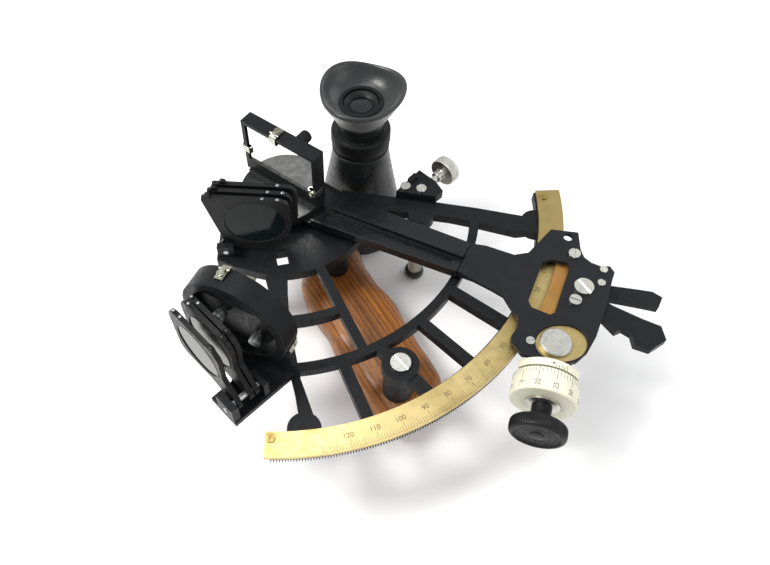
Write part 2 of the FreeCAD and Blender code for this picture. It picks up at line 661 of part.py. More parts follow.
# middle plane along the pin, outline in (across, height), glass centre, glass radius
index_shades = [
    (28.6, [(9.2, 42.9), (6.8, 43.7), (-31.0, 46.6), (-32.4, 46.1), (-32.7, 44.8)] + index_lug
     + [(-21, 5.6), (-14, 7.4), (2, 7.8), (8.0, 12), (11.6, 19), (12.0, 37.6), (11.0, 41.2)],
     (-7.2, 26.4), 16.4),
    (32.8, [(6.8, 42.2), (4.4, 43.0), (-33.2, 46.2), (-34.5, 45.7), (-34.8, 44.4)] + index_lug
     + [(-21, 5.6), (-14, 7.4), (0, 7.8), (5.5, 12), (9.4, 19), (9.8, 37), (8.6, 40.6)],
     (-9.5, 26.0), 16.4),
    (37.0, [(4.6, 41.8), (2.0, 42.6), (-35.9, 45.5), (-37.2, 45.0), (-37.5, 43.6)] + index_lug
     + [(-20.0, 4.6), (-14.5, 5.0), (-9.0, 5.0), (-4.6, 7.3), (1.0, 8.6), (5.5, 12.5),
        (8.6, 19.0), (8.8, 36.0), (7.6, 39.8)],
     (-11.0, 24.2), 17.4),
]
for k, (middle, outline, centre, glass_radius) in enumerate(index_shades):
    shade("index_shade_%d" % (k + 1), lifted(rotation=upright(index_shade_angle)),
          middle, outline, centre, index_pin, glass_radius)


def index_pin_cylinder(name, length, start):
    """Cylinder along the pin of the index shades."""
    rotation = Rotation(UP, index_shade_angle)
    return cylinder(name, shade_pin_radius, length,
                    rotation.multVec(Vector(index_pin[0], -start, index_pin[1])),
                    rotation.multVec(Vector(0, -1, 0)))


# name, size, corner in axes turned by index_shade_angle
shade_bracket_boxes = [
    ("base", (13.0, 19.5, 0.4), (-35.0, -43.5, frame_top)),
    ("front_ear", (9.5, 3.5, 9.6), (-34.0, -42.9, frame_top)),
    ("rear_ear", (9.5, 3.2, 9.6), (-34.0, -26.4, frame_top)),
]
finish("index_shade_bracket", cut(
    "index_shade_bracket_solid",
    fuse("index_shade_bracket_blank", [
        box("shade_bracket_" + name, size, corner, index_shade_angle)
        for name, size, corner in shade_bracket_boxes]),
    index_pin_cylinder("shade_bracket_hole", 24.0, 21.5)))

# Bracket on the frame that carries the horizon mirror and the horizon shades
bracket_plate = [(-112, -91), (-74, -91), (-67, -79), (-60.5, -66.5),
                 (-66, -52), (-84, -60), (-99, -72), (-112, -72)]
outer_ear = [(-112.0, -90.5), (-108.0, -90.5), (-108.0, -78.0), (-112.0, -78.0)]
inner_ear = [(-92.0, -90.5), (-89.0, -90.5), (-89.0, -80.0), (-92.0, -80.0)]
bracket_blank = prism_body("horizon_bracket", [
    ("pad", "plate", polygon(bracket_plate), frame_top, 3.5),
    ("pad", "outer_ear", polygon(outer_ear), 1.0, 12.5),
    ("pad", "inner_ear", polygon(inner_ear), 1.0, 12.5),
])
bracket_blank.Label = "horizon_bracket_blank"
finish("horizon_bracket", cut(
    "horizon_bracket_solid", bracket_blank,
    cylinder("horizon_pin_hole", shade_pin_radius, 30.0, (-115.0, *horizon_pin), EAST)))

finish_group("shade_pins", [
    index_pin_cylinder("index_shade_pin", 20.6, 22.8),
    cylinder("horizon_shade_pin", shade_pin_radius, 24.0, (-112.6, *horizon_pin), EAST),
])

horizon_shade_centre = (-62.0, 30.0)


def horizon_shade_outline():
    """Square with two rounded top corners and a lug down to the pin."""
    across, height = horizon_shade_centre
    half, corner_radius = 19.0, 7.0
    points = []
    for side, start in ((1, 0), (-1, 90)):
        for k in range(4):
            dx, dy = polar(corner_radius, start + 30 * k)
            points.append((across + side * (half - corner_radius) + dx,
                           height + half - corner_radius + dy))
    pin_x, pin_y = horizon_pin
    return points + [
        (across - half + 1.0, height - half * 0.2), (pin_x - 3.8, pin_y + 1.6),
        (pin_x - 3.2, pin_y - 2.3), (pin_x, pin_y - 4.0), (pin_x + 3.4, pin_y - 2.2),
        (across - half * 0.35, height - half + 0.6), (across + half - 6, height - half),
        (across + half - 1.2, height - half + 4)]


# Local x runs along +Y, so the pin is at the low-x end
for k, x in enumerate([-105.6, -98.4, -94.9]):
    shade("horizon_shade_%d" % (k + 1), lifted(x, rotation=upright(90.0)), 0.0,
          horizon_shade_outline(), horizon_shade_centre, horizon_pin, 16.0)

# ================================================================ horizon mirror
# Local x runs across the mirror, local y up, local z towards -X
on_horizon_mirror = lifted(-74.0, -59.0, 31.0, upright(-71.5))
ring_radius = 29.0
glass_edge = 21.0
ring_foot = [(-13, -29.5), (13, -29.5), (13, -20), (-13, -20)]
prism("horizon_mirror_frame", [
    ("pad", "ring", circle(0, 0, ring_radius), 0.0, 12.0),
    ("pad", "foot", polygon(ring_foot), 0.0, 12.0),
    ("pocket", "opening", circle(0, 0, 24.0), 12.0, 20.0),
], on_horizon_mirror)
prism("horizon_mirror_glass", [("pad", "disc", circle(0, 0, glass_edge), 1.0, 3.0)],
      on_horizon_mirror)

# The back plate covers the lower part of the glass and leaves the upper part open
back_disc = [polar(glass_edge, -196.6 + 213.2 * k / 48.0) for k in range(49)]
left_lug = [(-23.5, -4.0), (-18, -4.0), (-18, 4.0), (-23.5, 4.0)]
right_lug = [(18, -4.0), (23.5, -4.0), (23.5, 4.0), (18, 4.0)]
low_lug = [(-5, -23.3), (5, -23.3), (5, -18.0), (-5, -18.0)]
prism("horizon_mirror_back", [
    ("pad", "disc", polygon(back_disc), 4.0, 2.2),
    ("pad", "left_lug", polygon(left_lug), 4.4, 1.8),
    ("pad", "right_lug", polygon(right_lug), 4.4, 1.8),
    ("pad", "low_lug", polygon(low_lug), 4.4, 1.8),
], on_horizon_mirror)

# name, size, corner in axes turned to the angle of the clip
horizon_clip_boxes = [
    ("strap", (1.2, 4.2, 7.0), (ring_radius, -2.1, -1.0)),
    ("finger", (10.0, 3.0, 1.0), (19.6, -1.5, -1.0)),
    ("pad", (1.2, 3.0, 2.0), (19.6, -1.5, -1.0)),
]
finish_group("horizon_mirror_clips", [
    fuse("hm_clip_%d" % k, [
        box("hm_clip_%s_%d" % (name, k), size, corner, angle, alias="hm_clip_" + name)
        for name, size, corner in horizon_clip_boxes])
    for k, angle in enumerate((102.0, 215.0, -25.0))
], on_horizon_mirror)
finish_group("horizon_mirror_adjusters", [
    cylinder("hm_adjuster_a", 3.4, 7.0, (-9.0, -1.0, 6.2)),
    cylinder("hm_adjuster_b", 3.4, 7.0, (11.0, -9.0, 6.2)),
], on_horizon_mirror)

# ================================================================ telescope holder
holder_outline = [(47.6, -46.2), (69.0, -44.6), (69.0, -57.5), (66.5, -65.0), (60.6, -65.0)]
holder_step = [(58.0, -45.4), (64.0, -44.97), (64.0, -48.5), (58.0, -48.5)]
thumbscrew_y, thumbscrew_z = -54.0, 1.0
thumbscrew_shank = 2.0
holder_blank = prism_body("telescope_holder", [
    ("pad", "top", polygon(holder_outline), frame_top, holder_top - frame_top),
    ("pad", "step", polygon(holder_step), holder_top, 2.0),
])
holder_blank.Label = "telescope_holder_blank"
finish("telescope_holder", cut(
    "telescope_holder_solid", holder_blank,
    cylinder("holder_screw_bore", thumbscrew_shank + running_gap, 8.0,
             (64.0, thumbscrew_y, thumbscrew_z), EAST)))
turned("holder_thumbscrew", [
    (0, 0), (thumbscrew_shank, 0), (thumbscrew_shank, 7.4), (3.2, 7.4), (3.2, 12.0),
    (8.4, 12.8), (8.4, 19.0), (7.0, 20.4), (0, 20.4)],
    lifted(65.6, thumbscrew_y, thumbscrew_z, Rotation(UP, EAST)))

# ================================================================ telescope
# It stands on the ground on its objective end, with the eyepiece up
on_telescope = Placement(Vector(53.0, -11.5, 0), Rotation())
eyepiece_bore = 10.4
eyepiece_radius = 12.4
finish("telescope_tube", fuse("telescope_tube_solid", [
    turned_body("telescope_tube", [
        (22.0, 0.0), (25.6, 0.0), (26.0, 1.0), (26.0, 20.0), (25.2, 21.0), (25.2, 26.0),
        (18.8, 62.0), (15.9, 80.0), (15.9, 92.0), (13.2, 92.0), (13.2, 80.0), (17.0, 60.0),
        (22.8, 25.0), (22.0, 12.0)]),
    box("telescope_foot", (9.0, 9.0, 22.0), (20.2, -4.5, 44.0), 50),
]), on_telescope)
turned("objective_lens", [(0, 3.0), (22.0, 5.0), (22.0, 8.0), (0, 9.0)], on_telescope)
turned("focus_ring", [
    (15.95, 82.0), (17.0, 82.6), (17.0, 91.4), (16.4, 92.0), (15.95, 92.0)], on_telescope)
turned("eyepiece_tube", [
    (eyepiece_bore, 84.0), (13.1, 84.0), (13.1, 100.0), (eyepiece_radius, 101.0),
    (eyepiece_radius, 112.0), (eyepiece_bore, 112.0)], on_telescope)
turned("eyepiece_lens", [
    (0, 104.6), (eyepiece_bore, 105.6), (eyepiece_bore, 108.4), (0, 109.4)], on_telescope)
turned("eyecup", [
    (eyepiece_radius, 101.4), (15.0, 102.0), (20.6, 112.0), (23.4, 119.0), (23.6, 121.8),
    (22.6, 122.4), (21.4, 120.2), (16.6, 113.0), (eyepiece_radius, 110.0)], on_telescope)

# ================================================================ checks and export
doc.recompute()
problems = ["%s %s" % (obj.Name, obj.State) for obj in doc.Objects
            if "Invalid" in obj.State or "Error" in obj.State]
for name, obj in NODES.items():
    if obj.Shape.isNull() or not obj.Shape.isValid() or not obj.Shape.Solids:
        problems.append("bad shape: " + name)
if problems:
    raise RuntimeError("; ".join(problems))

os.makedirs("parts", exist_ok=True)
for name, obj in sorted(NODES.items()):
    obj.Shape.exportStep("parts/%s.step" % name)
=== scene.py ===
"""A marine sextant lying on its three legs, arc and index arm upwards, on a pale floor.

Pieces are drawn in millimetres from the pivot of the index arm: z = 0 is the face of the
arc, +Z is up, and the arc lies towards -Y. The scene itself is in metres, floor at z = 0.
"""
import bpy
import bmesh
import math
import random
from mathutils import Matrix, Vector


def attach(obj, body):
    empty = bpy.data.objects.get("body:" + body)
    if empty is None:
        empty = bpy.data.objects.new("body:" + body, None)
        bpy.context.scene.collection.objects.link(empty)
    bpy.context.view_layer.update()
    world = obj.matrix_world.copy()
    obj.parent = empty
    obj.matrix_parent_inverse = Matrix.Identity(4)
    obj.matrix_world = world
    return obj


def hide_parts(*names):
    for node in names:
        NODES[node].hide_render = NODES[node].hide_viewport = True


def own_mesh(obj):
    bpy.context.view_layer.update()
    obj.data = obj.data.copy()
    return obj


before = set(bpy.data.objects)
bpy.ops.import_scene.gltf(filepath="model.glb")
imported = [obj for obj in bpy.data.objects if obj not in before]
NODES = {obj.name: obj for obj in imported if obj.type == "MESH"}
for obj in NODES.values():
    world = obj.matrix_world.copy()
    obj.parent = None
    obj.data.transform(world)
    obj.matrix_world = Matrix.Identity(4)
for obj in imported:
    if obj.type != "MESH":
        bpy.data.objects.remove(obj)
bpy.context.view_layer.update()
random.seed(7)  # nothing below draws at random; this fixes any draw made by a helper

# ------------------------------------------------------------------ drawing frame
PIVOT_X, PIVOT_Y = -1.55, 88.30   # pivot of the index arm in the scene, mm
ARC_HEIGHT = 64.0                 # face of the arc above the floor, mm
UP = Vector((0, 0, 1))


def point(x, y, z=0.0):
    """Scene position, in metres, of a point of the drawing frame."""
    return Vector(((x + PIVOT_X) / 1000.0, (y + PIVOT_Y) / 1000.0, (z + ARC_HEIGHT) / 1000.0))


def shift(x, y, z):
    return Matrix.Translation((x, y, z))


def turn(angle, axis="Z"):
    return Matrix.Rotation(math.radians(angle), 4, axis)


def upright(angle):
    """Stands the local XY plane on edge, then turns it about Z."""
    return turn(angle) @ turn(90, "X")


def axes(x, y, z):
    """Rotation whose local axes are the three given directions."""
    return Matrix((x, y, z)).transposed().to_4x4()


def placed(x=0.0, y=0.0, z=0.0, rotation=Matrix.Identity(4)):
    """Matrix that puts a piece drawn in millimetres at a point of the drawing frame."""
    return Matrix.Translation(point(x, y, z)) @ rotation @ Matrix.Scale(0.001, 4)


DRAWING = placed()

# The worm lies along a tangent of the arc.
WORM_ANGLE = math.radians(-151.3)   # plan direction from the worm towards its drum
WORM_RADIUS = 163.6                 # worm axis to pivot
WORM_Z = -6.0
ALONG = Vector((math.cos(WORM_ANGLE), math.sin(WORM_ANGLE), 0))
OUTWARD = Vector((-ALONG.y, ALONG.x, 0))   # away from the pivot

INDEX_MIRROR_TURN = turn(-81.5)
HORIZON_MIRROR_TURN = upright(-71.5)


# ------------------------------------------------------------------ material builder
SHADER_INPUTS = {
    "color": "Base Color", "metallic": "Metallic", "roughness": "Roughness", "ior": "IOR",
    "transmission": "Transmission Weight", "coat": "Coat Weight",
    "coat_roughness": "Coat Roughness", "coat_tint": "Coat Tint",
    "specular": "Specular IOR Level", "sheen": "Sheen Weight",
}


def scaled(color, factor, lift=0.0):
    return tuple(c * factor + lift for c in color)


class Finish:
    """Builds one node material round a Principled shader; sizes are in millimetres."""

    def __init__(self, name):
        self.material = bpy.data.materials.new(name)
        self.material.use_nodes = True
        self.tree = self.material.node_tree
        self.tree.nodes.clear()
        self.output = self.node("ShaderNodeOutputMaterial")
        self.shader = self.node("ShaderNodeBsdfPrincipled")
        self.link(self.shader.outputs[0], self.output.inputs[0])
        self.coords = self.node("ShaderNodeTexCoord").outputs["Object"]
        self.normal = None

    def node(self, kind, **settings):
        node = self.tree.nodes.new(kind)
        for key, value in settings.items():
            setattr(node, key, value)
        return node

    def link(self, source, target):
        self.tree.links.new(source, target)

    def feed(self, socket, value):
        """Links an output into an input, or sets the input to a plain value."""
        if isinstance(value, bpy.types.NodeSocket):
            self.link(value, socket)
        elif socket.type == "RGBA":
            socket.default_value = (*value, 1.0)
        else:
            socket.default_value = value

    def set(self, **values):
        for key, value in values.items():
            self.feed(self.shader.inputs[SHADER_INPUTS[key]], value)

    def mapping(self, angle=0.0):
        """Object coordinates turned about Z by an angle in radians."""
        node = self.node("ShaderNodeMapping")
        node.inputs["Rotation"].default_value = (0, 0, angle)
        self.link(self.coords, node.inputs[0])
        return node.outputs[0]

    def noise(self, size, detail=3.0, gain=0.55, coords=None):
        node = self.node("ShaderNodeTexNoise")
        node.inputs["Scale"].default_value = 1000.0 / size
        node.inputs["Detail"].default_value = detail
        node.inputs["Roughness"].default_value = gain
        self.link(coords or self.coords, node.inputs["Vector"])
        return node.outputs["Fac"]

    def cells(self, size):
        node = self.node("ShaderNodeTexVoronoi", feature="SMOOTH_F1")
        node.inputs["Scale"].default_value = 1000.0 / size
        self.link(self.coords, node.inputs["Vector"])
        return node.outputs["Distance"]

    def remap(self, value, span, to):
        """Carries the range span of a value over to the range to."""
        node = self.node("ShaderNodeMapRange")
        for i, number in enumerate((*span, *to), 1):
            node.inputs[i].default_value = number
        self.link(value, node.inputs[0])
        return node.outputs[0]

    def patches(self, to, span=(0.3, 0.7), **noise):
        """Noise whose range span is carried over to the range to."""
        return self.remap(self.noise(**noise), span, to)

    def ramp(self, value, stops):
        node = self.node("ShaderNodeValToRGB")
        elements = node.color_ramp.elements
        while len(elements) < len(stops):
            elements.new(0.5)
        for element, (position, color) in zip(elements, stops):
            element.position = position
            element.color = (*color, 1.0)
        self.link(value, node.inputs[0])
        return node.outputs["Color"]

    def math(self, operation, first, second):
        node = self.node("ShaderNodeMath", operation=operation)
        self.feed(node.inputs[0], first)
        self.feed(node.inputs[1], second)
        return node.outputs[0]

    def vector(self, operation, first, second=None, output="Vector"):
        node = self.node("ShaderNodeVectorMath", operation=operation)
        self.feed(node.inputs[0], first)
        if second is not None:
            self.feed(node.inputs[1], second)
        return node.outputs[output]

    def split(self, vector):
        """The x, y and z outputs of a vector."""
        node = self.node("ShaderNodeSeparateXYZ")
        self.link(vector, node.inputs[0])
        return node.outputs

    def mix(self, amount, under, over):
        node = self.node("ShaderNodeMix", data_type="RGBA")
        for i, value in ((0, amount), (6, under), (7, over)):
            self.feed(node.inputs[i], value)
        return node.outputs[2]

    def rounded_normal(self, radius):
        node = self.node("ShaderNodeBevel", samples=4)
        node.inputs["Radius"].default_value = radius / 1000.0
        return node.outputs[0]

    def bevel(self, radius):
        self.normal = self.rounded_normal(radius)

    def edge_mask(self, radius):
        """1 along edges, 0 elsewhere."""
        rounded = self.rounded_normal(radius)
        true_normal = self.node("ShaderNodeNewGeometry").outputs["Normal"]
        facing = self.vector("DOT_PRODUCT", rounded, true_normal, output="Value")
        return self.remap(facing, span=(0.985, 0.86), to=(0.0, 1.0))

    def bump(self, height, depth, strength):
        """Adds relief on top of the bevel and bumps made so far."""
        node = self.node("ShaderNodeBump")
        node.inputs["Strength"].default_value = strength
        node.inputs["Distance"].default_value = depth / 1000.0
        self.link(height, node.inputs["Height"])
        if self.normal is not None:
            self.link(self.normal, node.inputs["Normal"])
        self.normal = node.outputs[0]

    def see_through(self, tint, amount):
        """Mixes the surface with tinted transparency."""
        clear = self.node("ShaderNodeBsdfTransparent")
        self.feed(clear.inputs[0], tint)
        mixer = self.node("ShaderNodeMixShader")
        self.feed(mixer.inputs[0], amount)
        self.link(self.shader.outputs[0], mixer.inputs[1])
        self.link(clear.outputs[0], mixer.inputs[2])
        self.link(mixer.outputs[0], self.output.inputs[0])

    def done(self):
        self.link(self.normal, self.shader.inputs["Normal"])
        return self.material


# ------------------------------------------------------------------ enamel, plastic, metal
def enamel(name, base, wrinkle, grain, rough, wear, specular, dusty=0.08):
    """Black enamel: wrinkled, dusty in patches, chipped to bare metal along its edges."""
    m = Finish(name)
    m.set(roughness=0.45, specular=specular)  # this roughness shows only without its map below
    patch = m.noise(size=14.0, detail=4.0)
    edge = m.edge_mask(radius=0.55)
    chips = m.patches(size=1.7, detail=4.0, gain=0.7, span=(0.52, 0.66), to=(0.0, 1.0))
    worn = m.math("MULTIPLY", m.math("MULTIPLY", edge, chips), wear)
    color = m.mix(patch, under=base, over=scaled(base, factor=1.9, lift=0.001))
    dust = m.patches(size=5.0, detail=5.0, gain=0.6, span=(0.58, 0.78), to=(0.0, dusty))
    color = m.mix(dust, under=color, over=(0.055, 0.058, 0.060))
    color = m.mix(worn, under=color, over=(0.30, 0.27, 0.20))
    m.set(color=color, roughness=m.patches(size=3.5, to=rough))
    m.bevel(radius=0.45)
    m.bump(m.cells(size=grain), depth=wrinkle, strength=0.9)
    m.bump(m.noise(size=0.9, detail=4.0), depth=wrinkle * 0.8, strength=0.5)
    return m.done()


def plastic(name, base, rough, grain, specular):
    """Black moulded plastic, paler along its edges."""
    m = Finish(name)
    m.set(specular=specular)
    lighter = scaled(base, factor=1.9, lift=0.001)
    color = m.mix(m.noise(size=9.0, detail=4.0), under=base, over=lighter)
    pale_edge = m.math("MULTIPLY", m.edge_mask(radius=0.3), 0.3)
    color = m.mix(pale_edge, under=color, over=(0.035, 0.036, 0.040))
    m.set(color=color, roughness=m.patches(size=2.5, to=(rough - 0.08, rough + 0.14)))
    m.bevel(radius=0.3)
    m.bump(m.noise(size=grain), depth=0.015, strength=0.6)
    return m.done()


def metal(name, base, rough, tarnish=(0.4, 0.35, 0.28), amount=0.25, scratch=0.006):
    """Finely scratched metal with patches of tarnish and bright edges."""
    m = Finish(name)
    m.set(metallic=1.0)
    fine = m.noise(size=0.35, detail=4.0, gain=0.65, coords=m.mapping())
    patch = m.patches(size=6.0, detail=5.0, gain=0.6, span=(0.45, 0.75), to=(0.0, amount))
    color = m.mix(patch, under=base, over=tarnish)
    grooves = m.remap(fine, span=(0.35, 0.7), to=(0.0, 0.18))
    color = m.mix(grooves, under=color, over=scaled(base, factor=0.72))
    bright_edge = m.math("MULTIPLY", m.edge_mask(radius=0.25), 0.4)
    color = m.mix(bright_edge, under=color, over=scaled(base, factor=1.15))
    roughness = m.patches(size=1.6, detail=4.0, span=(0.3, 0.75), to=(rough * 0.8, rough * 1.5))
    m.set(color=color, roughness=roughness)
    m.bevel(radius=0.2)
    m.bump(fine, depth=scratch, strength=0.7)
    return m.done()


WRINKLE_ENAMEL = enamel(
    "black_wrinkle_enamel", base=(0.0042, 0.0047, 0.0056), wrinkle=0.055, grain=0.55,
    rough=(0.34, 0.52), wear=0.28, specular=0.15)
SATIN_ENAMEL = enamel(
    "black_satin_enamel", base=(0.0042, 0.0047, 0.0060), wrinkle=0.006, grain=0.4,
    rough=(0.20, 0.30), wear=0.04, specular=0.34, dusty=0.01)
PLATE_ENAMEL = enamel(
    "black_plate_enamel", base=(0.0055, 0.0060, 0.0075), wrinkle=0.02, grain=0.35,
    rough=(0.36, 0.5), wear=0.2, specular=0.18, dusty=0.05)
PLASTIC = plastic(
    "black_moulded_plastic", base=(0.0045, 0.0047, 0.0052), rough=0.38, grain=0.25, specular=0.18)
TUBE_ENAMEL = plastic(
    "black_tube_enamel", base=(0.0050, 0.0056, 0.0060), rough=0.33, grain=0.5, specular=0.42)
NICKEL = metal("nickel_plate", base=(0.56, 0.56, 0.52), rough=0.30, amount=0.12, scratch=0.0015)
CLIP_CHROME = metal(
    "clip_chrome", base=(0.50, 0.50, 0.42), rough=0.22, tarnish=(0.10, 0.10, 0.06),
    amount=0.8, scratch=0.002)
RIVET_STEEL = metal(
    "rivet_steel", base=(0.26, 0.27, 0.28), rough=0.3, tarnish=(0.08, 0.08, 0.08),
    amount=0.5, scratch=0.002)
STEEL = metal("machined_steel", base=(0.48, 0.48, 0.49), rough=0.3)
SCREW_BRASS = metal(
    "screw_brass", base=(0.36, 0.27, 0.09), rough=0.3, tarnish=(0.08, 0.05, 0.02),
    amount=0.8, scratch=0.002)
RACK_BRONZE = metal(
    "rack_bronze", base=(0.42, 0.29, 0.14), rough=0.35, tarnish=(0.12, 0.09, 0.05), amount=0.6)
# partly painted shade: the rack is coloured near black to match the dark band under the arc, which
# is partly the black limb side and partly shade
RACK_BLACK_SHADE = enamel(
    "rack_black_with_painted_shade", base=(0.0035, 0.0036, 0.0038), wrinkle=0.01, grain=0.3,
    rough=(0.4, 0.55), wear=0.2, specular=0.2)
DISC_ENAMEL = enamel(
    "disc_gloss_enamel", base=(0.0042, 0.0050, 0.0050), wrinkle=0.010, grain=0.5,
    rough=(0.36, 0.48), wear=0.2, specular=0.34, dusty=0.05)
LEG_ALLOY = metal(
    "leg_collar_alloy", base=(0.52, 0.49, 0.42), rough=0.42, tarnish=(0.30, 0.27, 0.2),
    amount=0.4)


# ------------------------------------------------------------------ other materials
def arc_brass(name, base, dark, spot, rough=0.36):
    """Satin brass, brushed along the arc, with faint tarnish, small spots and painted shade towards
    its low end.
    """
    m = Finish(name)
    m.set(metallic=1.0)
    # polar coordinates about the pivot: brush lines run along the arc
    pivot = (PIVOT_X / 1000.0, PIVOT_Y / 1000.0, 0)
    from_pivot = m.vector("SUBTRACT", m.coords, pivot)
    flat = m.vector("MULTIPLY", from_pivot, (1, 1, 0))
    radius = m.vector("LENGTH", flat, output="Value")
    position = m.split(from_pivot)
    angle = m.math("ARCTAN2", position[1], position[0])
    polar = m.node("ShaderNodeCombineXYZ")
    m.link(m.math("MULTIPLY", radius, 1.0), polar.inputs[0])
    m.link(m.math("MULTIPLY", angle, 0.006), polar.inputs[1])  # small: draws the lines out
    m.link(m.math("MULTIPLY", position[2], 0.3), polar.inputs[2])
    lines = m.noise(size=0.22, gain=0.6, coords=polar.outputs[0])
    broad = m.patches(size=26.0, gain=0.5, span=(0.35, 0.68), to=(0.0, 1.0))
    color = m.mix(broad, under=base, over=dark)
    grooves = m.remap(lines, span=(0.3, 0.72), to=(0.0, 0.3))
    color = m.mix(grooves, under=color, over=scaled(base, factor=0.62))
    # painted shade: the colour darkens towards the low end of the arc, at +X
    painted_shade_low_end = m.remap(position[0], span=(-0.03, 0.10), to=(0.0, 0.6))
    color = m.mix(painted_shade_low_end, under=color, over=scaled(dark, factor=0.55))
    spots = m.patches(size=1.5, detail=5.0, gain=0.72, span=(0.62, 0.74), to=(0.0, 0.55))
    color = m.mix(spots, under=color, over=spot)
    m.set(color=color, roughness=m.patches(size=4.0, detail=4.0, to=(rough * 0.82, rough * 1.35)))
    m.bevel(radius=0.25)
    m.bump(lines, depth=0.010, strength=0.8)
    return m.done()


def ivory():
    """Ivory enamel, grimy in patches, with painted shade in the corners."""
    m = Finish("ivory_enamel")
    m.set(specular=0.45, coat=0.15, coat_roughness=0.2)
    patch = m.noise(size=10.0, detail=4.0)
    color = m.mix(patch, under=(0.76, 0.75, 0.62), over=(0.62, 0.60, 0.45))
    grime = m.patches(size=2.2, detail=5.0, gain=0.7, span=(0.56, 0.78), to=(0.0, 0.35))
    color = m.mix(grime, under=color, over=(0.36, 0.34, 0.22))
    # painted shade: ambient occlusion darkens the colour in corners and hollows
    occlusion = m.node("ShaderNodeAmbientOcclusion", samples=4)
    occlusion.inputs["Distance"].default_value = 0.004
    corners = m.remap(occlusion.outputs["AO"], span=(0.35, 0.95), to=(0.55, 0.0))
    color = m.mix(corners, under=color, over=(0.30, 0.27, 0.19))
    m.set(color=color, roughness=m.patches(size=3.0, to=(0.3, 0.46)))
    m.bevel(radius=0.35)
    m.bump(m.noise(size=0.7), depth=0.012, strength=0.5)
    return m.done()


WOOD_RINGS = (  # position on the ramp, colour
    (0.0, (0.46, 0.165, 0.024)), (0.45, (0.32, 0.100, 0.013)),
    (0.8, (0.13, 0.034, 0.005)), (1.0, (0.028, 0.008, 0.002)),
)


def wood():
    """Oiled hardwood with its grain along the grip."""
    m = Finish("oiled_hardwood")
    grip_angle = math.atan2(-107.0, -27.0)   # plan direction of the grip
    turned = m.mapping(angle=-grip_angle + math.pi / 2)
    along = m.vector("MULTIPLY", turned, (1.0, 0.055, 1.0))  # stretches the figure along local Y
    warp = m.noise(size=17.0, gain=0.5, coords=along)
    wave = m.node("ShaderNodeTexWave", wave_type="BANDS", bands_direction="X", wave_profile="SAW")
    wave.inputs["Scale"].default_value = 95.0
    wave.inputs["Distortion"].default_value = 7.0
    wave.inputs["Detail"].default_value = 3.0
    wave.inputs["Detail Scale"].default_value = 1.4
    m.link(along, wave.inputs["Vector"])
    color = m.ramp(wave.outputs["Fac"], WOOD_RINGS)
    streaks = m.remap(warp, span=(0.3, 0.7), to=(0.0, 1.0))
    broad = m.mix(streaks, under=(0.52, 0.195, 0.032), over=(0.075, 0.020, 0.004))
    color = m.mix(amount=0.45, under=color, over=broad)
    fibre = m.noise(size=0.55, detail=4.0, gain=0.7, coords=along)
    dark_fibre = m.remap(fibre, span=(0.45, 0.72), to=(0.0, 0.65))
    color = m.mix(dark_fibre, under=color, over=(0.075, 0.026, 0.009))
    pores = m.patches(size=0.32, detail=2.0, gain=0.5, coords=along,
                      span=(0.62, 0.70), to=(0.0, 0.8))
    color = m.mix(pores, under=color, over=(0.03, 0.012, 0.006))
    m.set(color=color, specular=0.35, coat=0.12, coat_roughness=0.22)
    m.set(roughness=m.remap(fibre, span=(0.3, 0.7), to=(0.32, 0.55)))
    m.bump(fibre, depth=0.05, strength=0.7)
    m.bump(pores, depth=-0.05, strength=0.7)
    return m.done()


def rubber():
    m = Finish("moulded_rubber")
    m.set(specular=0.42, sheen=0.25)
    patch = m.noise(size=8.0, detail=4.0)
    color = m.mix(patch, under=(0.0065, 0.0075, 0.0080), over=(0.016, 0.018, 0.019))
    dust = m.patches(size=3.0, detail=5.0, gain=0.65, span=(0.55, 0.8), to=(0.0, 0.25))
    m.set(color=m.mix(dust, under=color, over=(0.05, 0.053, 0.056)))
    m.set(roughness=m.patches(size=2.0, to=(0.26, 0.42)))
    m.bump(m.noise(size=0.35), depth=0.008, strength=0.6)
    return m.done()


def shade_glass(name, tint, clear):
    """Dark optical glass: a little clear, polished, with faint smears."""
    m = Finish(name)
    m.set(specular=0.16)
    m.set(color=m.mix(m.noise(size=7.0, detail=4.0), under=tint, over=scaled(tint, factor=1.5)))
    smears = m.patches(size=5.0, detail=5.0, gain=0.6, span=(0.35, 0.75), to=(0.05, 0.2))
    m.set(roughness=smears)
    m.bump(m.noise(size=3.0), depth=0.004, strength=0.4)
    m.see_through(tint=scaled(tint, factor=16), amount=clear)
    return m.done()


def silvering(name):
    """Finish of silvered glass with a slight haze."""
    m = Finish(name)
    m.set(metallic=1.0)
    haze = m.patches(size=9.0, detail=5.0, gain=0.6, span=(0.45, 0.8), to=(0.0, 0.3))
    m.set(color=m.mix(haze, under=(0.90, 0.92, 0.91), over=(0.78, 0.80, 0.77)))
    smears = m.patches(size=6.0, detail=5.0, gain=0.6, span=(0.4, 0.8), to=(0.015, 0.09))
    m.set(roughness=smears)
    m.bump(m.noise(size=12.0, detail=2.0), depth=0.003, strength=0.2)
    return m


def half_mirror():
    """Horizon glass: silvered in the lower part, mostly clear in the upper part."""
    silver_top = 0.1010   # height where the silvering ends, metres above the floor
    m = silvering("half_silvered_glass")
    above = m.math("GREATER_THAN", m.split(m.coords)[2], silver_top)
    m.see_through(tint=(0.93, 0.96, 0.95), amount=m.math("MULTIPLY", above, 0.92))
    return m.done()


def mirror_edge():
    m = Finish("mirror_glass_edge")
    m.set(specular=0.6)
    patch = m.noise(size=1.5, detail=4.0)
    m.set(color=m.mix(patch, under=(0.30, 0.40, 0.36), over=(0.50, 0.60, 0.56)))
    m.set(roughness=m.patches(size=0.8, to=(0.15, 0.35)))
    m.bump(m.noise(size=0.4), depth=0.02, strength=0.5)
    return m.done()


